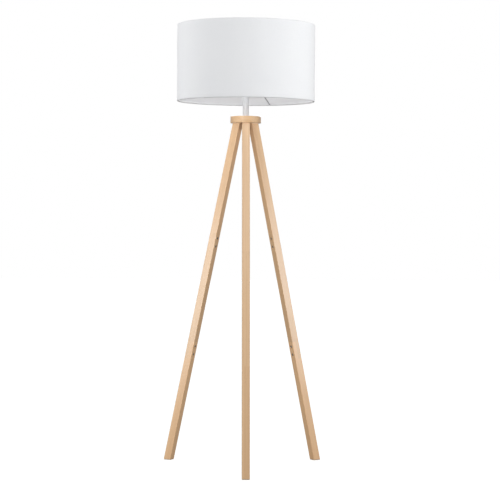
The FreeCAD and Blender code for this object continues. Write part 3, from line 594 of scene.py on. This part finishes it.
def powder_coat():
    """Satin powder coat with a fine orange peel."""
    look = bpy.context.scene.lamp_holder
    recipe = Recipe("powder_coat", Coat_Weight=0.15, Coat_Roughness=0.25)
    peel = recipe.noise(recipe.place(), 700)
    drift = recipe.noise(recipe.place(), 18)
    recipe.colour(recipe.mix(drift, shade_of(look.paint, 0.975), shade_of(look.paint, 1.01)))
    recipe.roughness(peel, 0.30, 0.42)
    recipe.bump(peel, 0.16, 0.08 * MM)
    return recipe.material


def moulded(name, colour, rough=(0.28, 0.4), grain=1600, depth=0.05, **surface):
    """Moulded plastic: a fine sparked texture, faint flow marks and a little dust in its gloss."""
    recipe = Recipe(name, **surface)
    place = recipe.place()
    texture = recipe.noise(place, grain)
    flow = recipe.noise(place, (30, 30, 90), detail=3)
    recipe.colour(recipe.mix(flow, shade_of(colour, 0.96), colour))
    gloss = recipe.maths("ADD", recipe.times(texture, 0.6), recipe.times(flow, 0.4))
    recipe.roughness(gloss, *rough)
    recipe.bump(texture, 0.15, depth * MM)
    return recipe.material


def metal(name, colour, rough, brushed=(300, 300, 4000), stain=0.85):
    """Bare or plated metal: turning marks, uneven gloss and a slight stain."""
    recipe = Recipe(name, Metallic=1.0)
    place = recipe.place()
    marks = recipe.noise(place, brushed, detail=3, roughness=0.6)
    stains = recipe.noise(place, 160, detail=4, roughness=0.6)
    recipe.colour(recipe.mix(recipe.between(stains, 0.35, 0.7), colour, shade_of(colour, stain)))
    gloss = recipe.maths("ADD", recipe.times(marks, 0.5), recipe.times(stains, 0.5))
    recipe.roughness(gloss, *rough)
    recipe.bump(marks, 0.1, 0.03 * MM)
    return recipe.material


def felt():
    """Pressed beige felt: matted fibres of two shades."""
    recipe = Recipe("pressed_felt", Specular_IOR_Level=0.15, Sheen_Weight=0.5, Sheen_Roughness=0.6)
    place = recipe.place()
    matted = recipe.noise(place, 2600, detail=4, roughness=0.7)
    tufts = recipe.noise(place, 500, detail=3)
    wool = recipe.mix(recipe.between(matted, 0.35, 0.65), (0.36, 0.27, 0.18), (0.62, 0.50, 0.37))
    recipe.colour(recipe.mix(recipe.between(tufts, 0.4, 0.7, 0, 0.4), wool, (0.70, 0.60, 0.48)))
    recipe.roughness(matted, 0.85, 1.0)
    recipe.bump(recipe.maths("ADD", matted, recipe.times(tufts, 0.6)), 0.7, 0.25 * MM)
    return recipe.material


def circuit_board():
    """Green circuit board with copper tracks showing through its varnish."""
    recipe = Recipe("circuit_board_green", Coat_Weight=0.4, Coat_Roughness=0.2)
    place = recipe.place()
    tracks = recipe.add("TexBrick", {
        "Vector": place, "Scale": 120.0, "Mortar Size": 0.08,
        "Color1": (0.03, 0.16, 0.06, 1), "Color2": (0.04, 0.20, 0.08, 1),
        "Mortar": (0.10, 0.32, 0.14, 1),
    })
    recipe.colour(tracks.outputs["Color"])
    recipe.roughness(recipe.noise(place, 300), 0.3, 0.45)
    recipe.bump(tracks.outputs["Fac"], 0.2, 0.05 * MM)
    return recipe.material


# ---- pieces


class LAMP_OT_wood(bpy.types.Operator):
    """Finish the nine leg sections and the disc in lacquered beech, grained along each piece"""

    bl_idname = "lamp.wood"
    bl_label = "Wooden legs and disc"

    def execute(self, context):
        # Painted shade and light: the front leg's sections are made darker, the rear legs' lower
        # sections lighter, and every lower section warmer, for how the light falls on the legs.
        board_tones_and_painted_shade = {  # each section is cut from another board, and its tone also carries painted shade and light
            "front": {"upper": 0.84, "middle": 0.83, "lower": 0.81},
            "right": {"upper": 1.03, "middle": 1.0, "lower": 1.12},
            "left": {"upper": 1.01, "middle": 0.98, "lower": 1.09},
        }
        pith = Vector((0.085, 0.05, 0))  # the boards are cut well away from the heart of the trunk
        for index, (leg, boards) in enumerate(board_tones_and_painted_shade.items()):
            foot, top = leg_line(leg)
            grain = (top - foot).normalized()
            outward = Vector((foot.x, foot.y, 0)).normalized()
            for number, (section, board_tone_and_shade) in enumerate(boards.items()):
                cut = Vector((0.03 * index, -0.02 * number, 3.1 * index + 1.7 * number))
                shift = pith * (1 + 0.35 * number) + cut
                # the lower sections get a painted warmth, for how the light falls near the floor
                NODES[f"leg_{leg}_{section}"].material_slots[0].material = grained_wood(
                    f"beech_{leg}_{section}", grain, outward, foot, shift,
                    board_tone_and_shade, painted_warmth=0.05 if section == "lower" else 0.0)
        low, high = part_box("top_disc")
        NODES["top_disc"].material_slots[0].material = grained_wood(
            "beech_disc", Vector((1, 0, 0)), Vector((0, 0, 1)), (low + high) / 2,
            Vector((0.06, 0.04, 5)), board_tone_and_shade=0.93)
        return {"FINISHED"}


class LAMP_OT_pads(bpy.types.Operator):
    """Cut the three felt pads under the feet, with soft, slightly ragged edges"""

    bl_idname = "lamp.pads"
    bl_label = "Felt pads"

    def execute(self, context):
        take(NODES["foot_pads"])
        bpy.ops.object.duplicate(linked=False)
        pads = settle("felt_pads")
        for key in [k for k in pads.keys() if k.startswith("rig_")]:
            del pads[key]
        pads.parent = None
        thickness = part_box("foot_pads")[1].z  # they lie on the floor
        with editing(pads):
            bpy.ops.mesh.remove_doubles(threshold=TOUCHING)
            bpy.ops.mesh.dissolve_limited(angle_limit=math.radians(5))
            bpy.ops.mesh.normals_make_consistent(inside=False)
            bpy.ops.mesh.bevel(offset=thickness * 0.22, segments=3, affect="EDGES")
            bpy.ops.mesh.select_all(action="SELECT")
            bpy.ops.mesh.quads_convert_to_tris()
            bpy.ops.mesh.subdivide(number_cuts=5)
        raggedness = 0.12 * MM
        sides = [v for v in pads.data.vertices if 0.15 < v.co.z / thickness < 0.97]
        for vertex, normal in [(v, v.normal.copy()) for v in sides]:
            cut = min(0, noise.noise(vertex.co * 900)) * raggedness
            vertex.co += Vector((normal.x, normal.y, 0)) * cut
        smooth(pads, 60)
        finish_piece(pads, "stand", felt(), ["foot_pads"])
        return {"FINISHED"}


class LAMP_OT_fittings(bpy.types.Operator):
    """Finish the stem, the bolts, the rod and the other metal and plastic parts"""

    bl_idname = "lamp.fittings"
    bl_label = "Stem, bolts and small parts"

    def execute(self, context):
        ceramic, glass, opal = (0.72, 0.69, 0.62), (0.012, 0.012, 0.014), (0.86, 0.86, 0.84)
        finishes = {
            "white_paint": powder_coat(),
            "zinc_steel": metal("zinc_plate", (0.60, 0.60, 0.61), (0.26, 0.42)),
            "brass": metal("turned_brass", (0.80, 0.60, 0.28), (0.22, 0.36), stain=0.8),
            "white_plastic": moulded("holder_plastic", (0.80, 0.80, 0.79)),
            "terminal_block": moulded("terminal_ceramic", ceramic, (0.45, 0.6), 900, 0.08),
            "black_insulator": moulded("black_glass", glass, (0.12, 0.25), 700, 0.03),
            "bulb_plastic": moulded("bulb_housing_plastic", (0.80, 0.80, 0.78), (0.35, 0.48)),
            "led_board": moulded("led_board_white", (0.78, 0.78, 0.72), (0.3, 0.42), 2400, 0.02),
            "circuit_board": circuit_board(),
            "opal_globe": moulded("opal_diffuser", opal, (0.24, 0.34), 1200, 0.02, Coat_Weight=0.3),
        }
        for slot, finish in finishes.items():
            finish_parts(slot, finish)
        return {"FINISHED"}


def fold_lines(thickness):
    """The middle surface of the cloth.

    Its radius on the flaps and on the wall, the radius and the heights of its folds, and its hem.
    """
    low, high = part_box("shade_fabric")
    flap, wall = radii("shade_fabric")
    middle = (low.z + high.z) / 2
    flap_top = max(p.z for p in corners_of("shade_fabric", high=middle)
                   if math.hypot(p.x, p.y) < (flap + wall) / 2)
    flap, wall = flap + thickness / 2, wall - thickness / 2
    fold = (wall - flap) / 2
    bottom, top = low.z + thickness / 2 + fold, high.z - thickness / 2 - fold
    return flap, wall, fold, bottom, top, flap_top - low.z


def cloth_outline(look):
    """From the end of the upper flap, over the top hoop, down outside and round the bottom hoop."""
    flap, wall, fold, bottom, top, hem = fold_lines(look.cloth_thickness)
    middle = (flap + wall) / 2
    flap_reach = hem - fold - look.cloth_thickness / 2
    rise = [flap_reach * k / 4 for k in range(1, 5)]
    over = arc((middle, top), fold, 180, 0, 10)
    under = arc((middle, bottom), fold, 0, -180, 10)
    return ([(flap, top - step) for step in reversed(rise)] + over
            + column(wall, top, bottom, look.row_height)
            + under + [(flap, bottom + step) for step in rise])


class LAMP_OT_shade_cloth(bpy.types.Operator):
    """Wrap the cotton round its liner, turn it over both hoops and lap it at the back"""

    bl_idname = "lamp.shade_cloth"
    bl_label = "Shade cloth"

    def execute(self, context):
        look = context.scene.lamp_shade
        flap, wall, fold, bottom, top, hem = fold_lines(look.cloth_thickness)
        cloth = turned("shade_cloth", cloth_outline(look), look.columns)
        self.face_outwards(cloth)
        self.notch(cloth, flap + fold, bottom)
        self.lay_threads(cloth, wall, fold, bottom, top)
        self.ease(cloth, look.slackness, (flap + wall) / 2, fold)
        thicken(cloth, look.cloth_thickness)
        smooth(cloth, 50)
        cotton_finish = cotton()
        finish_piece(cloth, "shade", cotton_finish, ["shade_fabric"])
        lap = self.lap(look, wall, fold, bottom, top)
        finish_piece(lap, "shade", cotton_finish)
        return {"FINISHED"}

    def face_outwards(self, cloth):
        """Turn an open sheet's faces away from the stem."""
        face = max(cloth.data.polygons, key=lambda f: math.hypot(f.center.x, f.center.y))
        if face.normal.dot(Vector((face.center.x, face.center.y, 0))) < 0:
            with editing(cloth):
                bpy.ops.mesh.flip_normals()

    def notch(self, cloth, middle, bottom):
        """Cut the lower flap open where a spoke goes through it to the hoop."""
        azimuths = spoke_azimuths()
        half_width = math.radians(1.1)
        with editing(cloth, "DESELECT"):
            bpy.ops.mesh.select_mode(type="FACE")
        for face in cloth.data.polygons:
            place = face.center
            inside = math.hypot(place.x, place.y) < middle - 1.5 * MM
            turns = [azimuth_of(place) - azimuth for azimuth in azimuths]
            away = min(abs((turn + math.pi) % math.tau - math.pi) for turn in turns)
            face.select = inside and bottom < place.z < bottom + 20 * MM and away < half_width
        with editing(cloth, None):
            bpy.ops.mesh.delete(type="FACE")
            bpy.ops.mesh.select_mode(type="VERT")

    def lay_threads(self, cloth, wall, fold, bottom, top):
        """Unroll the cloth: u runs round the shade and v up it and over the folds, in metres."""
        middle, waist = wall - fold, (bottom + top) / 2
        threads = cloth.data.uv_layers.new(name="threads")
        for face in cloth.data.polygons:
            heading = azimuth_of(face.center)
            for loop in face.loop_indices:
                place = cloth.data.vertices[cloth.data.loops[loop].vertex_index].co
                turn = azimuth_of(place)
                turn += math.tau * round((heading - turn) / math.tau)
                away = math.hypot(place.x, place.y)
                along = place.z
                hub = bottom if place.z < waist else top
                if not bottom <= place.z <= top:
                    angle = math.atan2(abs(place.z - hub), away - middle)
                    along = hub + math.copysign(fold * angle, hub - waist)
                elif away < middle:
                    along = hub + math.copysign(fold * math.pi, hub - waist) - (place.z - hub)
                threads.data[loop].uv = (turn * wall, along)

    def ease(self, cloth, slackness, middle, fold):
        """Let the cloth stand off its liner by a hair here and there, and pucker on its flaps."""
        puckers, depth = 95, 0.3 * MM
        for vertex in cloth.data.vertices:
            place = vertex.co
            away = math.hypot(place.x, place.y)
            out = Vector((place.x, place.y, 0)) / away
            if away > middle + fold * 0.9:
                drift = noise.noise(place * 9) + 0.4 * noise.noise(place * 31)
                vertex.co += out * slackness * max(0, drift)
            elif away < middle - fold * 0.9:
                phase = azimuth_of(place) * puckers + 2.5 * noise.noise(place * 20)
                vertex.co -= out * depth * (0.5 + 0.5 * math.sin(phase))

    def lap(self, look, wall, fold, bottom, top):
        """The cloth's end, glued over its beginning at the back."""
        outside = wall + look.cloth_thickness + look.slackness
        middle, reach = wall - fold, outside - wall + fold
        outline = (arc((middle, top), reach, 80, 0, 7)
                   + column(outside, top, bottom, look.row_height)
                   + arc((middle, bottom), reach, 0, -80, 7))
        sweep = math.degrees(look.lap_width / outside)
        lap = turned("shade_lap", outline, 6, sweep)
        self.face_outwards(lap)
        turn_to(lap, math.radians(90 - sweep / 2))
        self.lay_threads(lap, outside, reach, bottom, top)
        thicken(lap, look.cloth_thickness)
        smooth(lap, 50)
        return lap


class LAMP_OT_shade_backing(bpy.types.Operator):
    """Roll the stiff white liner inside the cloth, with its joint taped at the back"""

    bl_idname = "lamp.shade_backing"
    bl_label = "Shade liner"

    def execute(self, context):
        look = context.scene.lamp_shade
        low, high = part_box("shade_liner")
        inner, outer = radii("shade_liner")
        edge = 0.2 * MM
        outline = [(inner, low.z), (outer, low.z), (outer, high.z), (inner, high.z)]
        sheet = turned("shade_backing", softened(outline, edge, 2), look.columns)
        tape_width, tape_thickness, gap = 20 * MM, 0.3 * MM, 12 * MM
        sweep, face = math.degrees(tape_width / inner), inner - tape_thickness
        start, end = low.z + gap, high.z - gap
        outline = [(face, start), (inner, start), (inner, end), (face, end)]
        tape = turned("shade_tape", softened(outline, edge / 4, 1), 8, sweep)
        with editing(tape, "DESELECT"):
            bpy.ops.mesh.select_non_manifold()
            bpy.ops.mesh.edge_face_add()
        turn_to(tape, math.radians(90 - sweep / 2))
        close_up(tape)
        backing = joined("shade_backing", [sheet, tape])
        smooth(backing, 35)
        finish_piece(backing, "shade", liner_film(), ["shade_liner"])
        return {"FINISHED"}


class LAMP_OT_spokes(bpy.types.Operator):
    """Bend the three spokes from the fitter's ring down to the bottom hoop, and weld their ends"""

    bl_idname = "lamp.spokes"
    bl_label = "Fitter spokes"

    def execute(self, context):
        hoop_low, hoop_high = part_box("shade_bottom_hoop")
        ring_low, ring_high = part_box("fitter_ring")
        wire = (hoop_high.z - hoop_low.z) / 2
        rim = radii("shade_bottom_hoop")[1] - wire
        hoop = Vector((rim, 0, (hoop_low.z + hoop_high.z) / 2 + wire))
        start = Vector((radii("fitter_ring")[1] - wire / 2, 0, (ring_low.z + ring_high.z) / 2))
        spoke = self.bent_wire(start, hoop, wire, *self.elbow(start, hoop))
        welds = [self.weld(start + Vector((wire, 0, 0)), wire * 1.35), self.weld(hoop, wire * 1.25)]
        whole = joined("spoke", [spoke] + welds)
        spokes = joined("spokes_and_welds", copies_round(whole, spoke_azimuths()))
        smooth(spokes, 50)
        paint = bpy.data.materials["powder_coat"]
        finish_piece(spokes, "shade", paint, ["fitter_spokes"])
        return {"FINISHED"}

    def elbow(self, start, hoop):
        """How far from the stem the part's level run ends, and the slope after its bend."""
        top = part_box("fitter_spokes")[1].z
        reach = radii("fitter_spokes", low=top - 0.02 * MM)[1]
        slope = 0
        for _ in range(5):  # each pass brings the bend and the slope closer to each other
            corner = reach + SPOKE_BEND * math.tan(slope / 2)
            slope = math.atan2(start.z - hoop.z, hoop.x - corner)
        return reach, slope

    def bent_wire(self, start, hoop, wire, reach, slope):
        """A round wire, drawn out level, spun round the bend and drawn out again to the hoop."""
        start_afresh()
        bpy.ops.mesh.primitive_circle_add(vertices=20, radius=wire, location=start,
                                          rotation=(0, math.radians(90), 0), fill_type="NGON")
        piece = settle("spoke_wire")
        middle = Vector((reach, 0, start.z - SPOKE_BEND))
        bend_end = middle + Vector((math.sin(slope), 0, math.cos(slope))) * SPOKE_BEND
        with editing(piece):
            level = (reach - start.x, 0, 0)
            bpy.ops.mesh.extrude_region_move(TRANSFORM_OT_translate={"value": level})
            bpy.ops.mesh.spin(steps=8, angle=-slope, center=middle, axis=(0, 1, 0))
            bpy.ops.mesh.extrude_region_move(TRANSFORM_OT_translate={"value": hoop - bend_end})
        close_up(piece)
        return piece

    def weld(self, place, size):
        """A small uneven bead of weld."""
        start_afresh()
        bpy.ops.mesh.primitive_ico_sphere_add(subdivisions=3, radius=size, location=place)
        bead = settle("weld")
        for vertex in bead.data.vertices:
            vertex.co = place + (vertex.co - place) * (0.92 + 0.16 * noise.noise(vertex.co * 700))
        return bead


class LAMP_OT_barrel(bpy.types.Operator):
    """Turn the lampholder's barrel and cut the thread that the two shade rings run on"""

    bl_idname = "lamp.barrel"
    bl_label = "Threaded barrel"

    def execute(self, context):
        look = context.scene.lamp_holder
        low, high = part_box("holder_shell")
        bore, collar = radii("holder_shell", high=low.z + SLICE)
        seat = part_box("shade_ring_lower")[0].z
        mouth, crest = radii("holder_shell", low=high.z - SLICE)
        lip = high.z - max(p.z for p in corners_of("holder_shell", high=high.z - SLICE))
        outline = softened([
            (bore, low.z), (collar, low.z), (collar, seat), (crest, seat), (crest, high.z),
            (mouth, high.z), (mouth, high.z - lip), (bore, high.z - lip)], 0.35 * MM)
        at = next(k + 1 for k, (point, after) in enumerate(zip(outline, outline[1:]))
                  if abs(point[0] - crest) < TOUCHING and after[1] - point[1] > 10 * MM)
        rows = column(crest, outline[at - 1][1], outline[at][1], look.barrel_pitch / 10)
        barrel = turned("threaded_barrel", outline[:at] + rows + outline[at:], look.steps)
        run_out = 0.6 * MM
        cut_thread(barrel, seat + run_out, high.z - run_out, (bore + crest) / 2,
                   look.barrel_depth, look.barrel_pitch)
        smooth(barrel, 50)
        plastic = bpy.data.materials["holder_plastic"]
        finish_piece(barrel, "stand", plastic, ["holder_shell"])
        return {"FINISHED"}


class LAMP_OT_bulb_cap(bpy.types.Operator):
    """Press the bulb's screw cap, with its rounded thread"""

    bl_idname = "lamp.bulb_cap"
    bl_label = "Bulb cap"

    def execute(self, context):
        look = context.scene.lamp_holder
        low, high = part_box("bulb_cap")
        inner, outer = radii("bulb_cap", low=high.z - SLICE)
        wall = outer - inner
        seat = radii("bulb_cap", high=low.z + SLICE)[0]
        bevel, row = 1 * MM, look.cap_pitch / 12
        bend, floor = low.z + bevel, low.z + wall
        outline = ([(seat, low.z), (outer - bevel, low.z), (outer, bend)]
                   + column(outer, bend, high.z, row) + [(outer, high.z), (inner, high.z)]
                   + column(inner, high.z, floor + bevel, row)
                   + [(inner, floor + bevel), (inner - bevel, floor), (seat, floor), (seat, low.z)])
        cap = turned("bulb_screw_cap", outline, look.steps)
        cut_thread(cap, bend, high.z - 3 * MM, inner - 0.1 * MM, look.cap_depth, look.cap_pitch)
        smooth(cap, 50)
        nickel = metal("nickel_plate", (0.72, 0.71, 0.68), (0.16, 0.3), brushed=(200, 200, 2500))
        finish_piece(cap, "bulb", nickel, ["bulb_cap"])
        return {"FINISHED"}


# ---- stage


# Where the softboxes stand: degrees to the right of the camera, degrees up, side of the softbox and
# share of the full power. The lacquer of the rear legs mirrors the two low ones beside the stand.
STAND_DISTANCE, SHADE_DISTANCE = 2.6, 2.2
STAND_LIGHTS = ((-60, -3, 0.75, 0.46), (-20, 34, 1.2, 1.0),
                (60, -3, 0.75, 0.58), (172, 32, 1.2, 0.9))
SHADE_LIGHTS = ((-110, 6, 1.1, 0.4), (-80, 6, 1.1, 0.3), (-50, 6, 1.1, 0.75),
                (45, 6, 1.1, 1.0), (75, 6, 1.1, 0.55), (180, 20, 1.1, 1.0))


class LAMP_OT_stage(bpy.types.Operator):
    """Lay the pale floor, light the lamp with softboxes all round it and set up the camera"""

    bl_idname = "lamp.stage"
    bl_label = "Floor, lights and camera"

    def execute(self, context):
        look = context.scene.lamp_stage
        context.scene.view_settings.view_transform = "Standard"
        self.surround(context.scene, look.daylight)
        self.floor()
        low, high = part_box("shade_fabric")
        shade = (low + high) / 2
        legs = Vector((0, 0, low.z / 2))
        bodies = ["stand", "locking_ring", "bulb_base", "bulb"]
        stand = self.group("lit_with_the_stand", bodies)
        shading = self.group("shading_the_stand", bodies, without=[NODES["top_disc"]])
        drum = self.group("lit_with_the_shade", ["shade"])
        for azimuth, elevation, size, share in STAND_LIGHTS:
            self.softbox("stand_softbox", look.stand_power * share, size, azimuth, elevation,
                         STAND_DISTANCE, legs, stand, shading)
        for azimuth, elevation, size, share in SHADE_LIGHTS:
            self.softbox("shade_softbox", look.shade_power * share, size, azimuth, elevation,
                         SHADE_DISTANCE, shade, drum, drum)
        glow = self.hang("light_in_the_shade", "POINT", look.inside_power, shade, drum, drum)
        glow.data.shadow_soft_size = 0.12  # soft, as it comes in through the cloth
        self.camera(context.scene, look)
        return {"FINISHED"}

    def group(self, name, bodies, without=()):
        """The pieces of some bodies, as a set that lights can be kept to."""
        group = bpy.data.collections.new(name)
        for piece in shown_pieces():
            if set(body_of(piece) or []) & set(bodies) and piece not in without:
                group.objects.link(piece)
        return group

    def surround(self, scene, daylight):
        """A white room: pure white to look at, and weaker as a light."""
        world = bpy.data.worlds.new("white_room")
        scene.world = world
        world.use_nodes = True
        nodes, links = world.node_tree.nodes, world.node_tree.links
        seen, lit = nodes["Background"], nodes.new("ShaderNodeBackground")
        seen.inputs["Color"].default_value = lit.inputs["Color"].default_value = (1, 1, 1, 1)
        seen.inputs["Strength"].default_value = 1
        lit.inputs["Strength"].default_value = daylight
        choice = nodes.new("ShaderNodeMixShader")
        links.new(nodes.new("ShaderNodeLightPath").outputs["Is Camera Ray"], choice.inputs["Fac"])
        links.new(lit.outputs["Background"], choice.inputs[1])
        links.new(seen.outputs["Background"], choice.inputs[2])
        links.new(choice.outputs["Shader"], nodes["World Output"].inputs["Surface"])

    def floor(self):
        """A pale floor that glows up to white in open light, and isn't seen from below."""
        start_afresh()
        bpy.ops.mesh.primitive_plane_add(size=30, location=(0, 0, -0.05 * MM))
        floor = settle("studio_floor")
        recipe = Recipe("studio_floor_white", Base_Color=(0.5, 0.5, 0.5, 1), Roughness=0.9,
                        Specular_IOR_Level=0.1)
        matt = recipe.shader.outputs["BSDF"]
        glow = recipe.add("Emission", {"Strength": 0.86}).outputs["Emission"]
        glowing = recipe.add("AddShader", {0: matt, 1: glow}).outputs["Shader"]
        looked_at = recipe.add("LightPath").outputs["Is Camera Ray"]
        above = recipe.add("MixShader", {0: looked_at, 1: matt, 2: glowing}).outputs["Shader"]
        from_below = recipe.add("NewGeometry").outputs["Backfacing"]
        clear = recipe.add("BsdfTransparent").outputs["BSDF"]
        whole = recipe.add("MixShader", {0: from_below, 1: above, 2: clear}).outputs["Shader"]
        recipe.links.new(whole, recipe.nodes["Material Output"].inputs["Surface"])
        floor.data.materials.append(recipe.material)
        floor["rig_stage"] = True

    def hang(self, name, kind, power, place, lit, shading):
        """A light that isn't seen. It lights only some pieces, and only some throw its shadow."""
        light = bpy.data.lights.new(name, kind)
        light.energy = power
        hung = bpy.data.objects.new(name, light)
        hung.location = place
        hung.visible_camera = False
        hung.light_linking.receiver_collection = lit
        hung.light_linking.blocker_collection = shading
        bpy.context.scene.collection.objects.link(hung)
        return hung

    def softbox(self, name, power, size, azimuth, elevation, distance, aim, lit, shading):
        """A square area light, turned towards the lamp, with azimuth 0 on the camera's side."""
        turn, rise = math.radians(azimuth), math.radians(elevation)
        flat = math.cos(rise)
        away = Vector((math.sin(turn) * flat, -math.cos(turn) * flat, math.sin(rise)))
        box = self.hang(name, "AREA", power, aim + away * distance, lit, shading)
        box.data.shape = "SQUARE"
        box.data.size = size
        box.rotation_euler = (-away).to_track_quat("-Z", "Y").to_euler()

    def camera(self, scene, look):
        lens = bpy.data.cameras.new("camera")
        lens.sensor_width = 36
        lens.lens = look.lens
        camera = bpy.data.objects.new("camera", lens)
        camera.matrix_world = (Matrix.Translation(look.eye)
                               @ Matrix.Rotation(-look.heading, 4, "Z")
                               @ Matrix.Rotation(math.pi / 2 + look.tilt, 4, "X")
                               @ Matrix.Rotation(look.roll, 4, "Z"))
        scene.collection.objects.link(camera)
        scene.camera = camera


STEPS = (LAMP_OT_wood, LAMP_OT_pads, LAMP_OT_fittings, LAMP_OT_shade_backing, LAMP_OT_shade_cloth,
         LAMP_OT_spokes, LAMP_OT_barrel, LAMP_OT_bulb_cap, LAMP_OT_stage)
LOOKS = {"lamp_wood": WoodLook, "lamp_shade": ShadeLook,
         "lamp_holder": HolderLook, "lamp_stage": StageLook}


class LAMP_PT_steps(bpy.types.Panel):
    """The lamp's steps and their values"""

    bl_idname = "LAMP_PT_steps"
    bl_label = "Floor lamp"
    bl_space_type = "VIEW_3D"
    bl_region_type = "UI"
    bl_category = "Floor lamp"

    def draw(self, context):
        for step in STEPS:
            self.layout.operator(step.bl_idname)
        for name, look in LOOKS.items():
            box = self.layout.box()
            for value in look.__annotations__:
                box.prop(getattr(context.scene, name), value)


def register():
    for kind in (*LOOKS.values(), *STEPS, LAMP_PT_steps):
        bpy.utils.register_class(kind)
    for name, look in LOOKS.items():
        setattr(bpy.types.Scene, name, PointerProperty(type=look))


def unregister():
    for name in LOOKS:
        delattr(bpy.types.Scene, name)
    for kind in (LAMP_PT_steps, *reversed(STEPS), *LOOKS.values()):
        bpy.utils.unregister_class(kind)


def main():
    register()
    bpy.ops.lamp.wood()
    bpy.ops.lamp.pads()
    bpy.ops.lamp.fittings()
    bpy.ops.lamp.shade_backing()
    bpy.ops.lamp.shade_cloth()
    bpy.ops.lamp.spokes()
    bpy.ops.lamp.barrel()
    bpy.ops.lamp.bulb_cap()
    bpy.ops.lamp.stage()


if __name__ == "__main__":
    main()
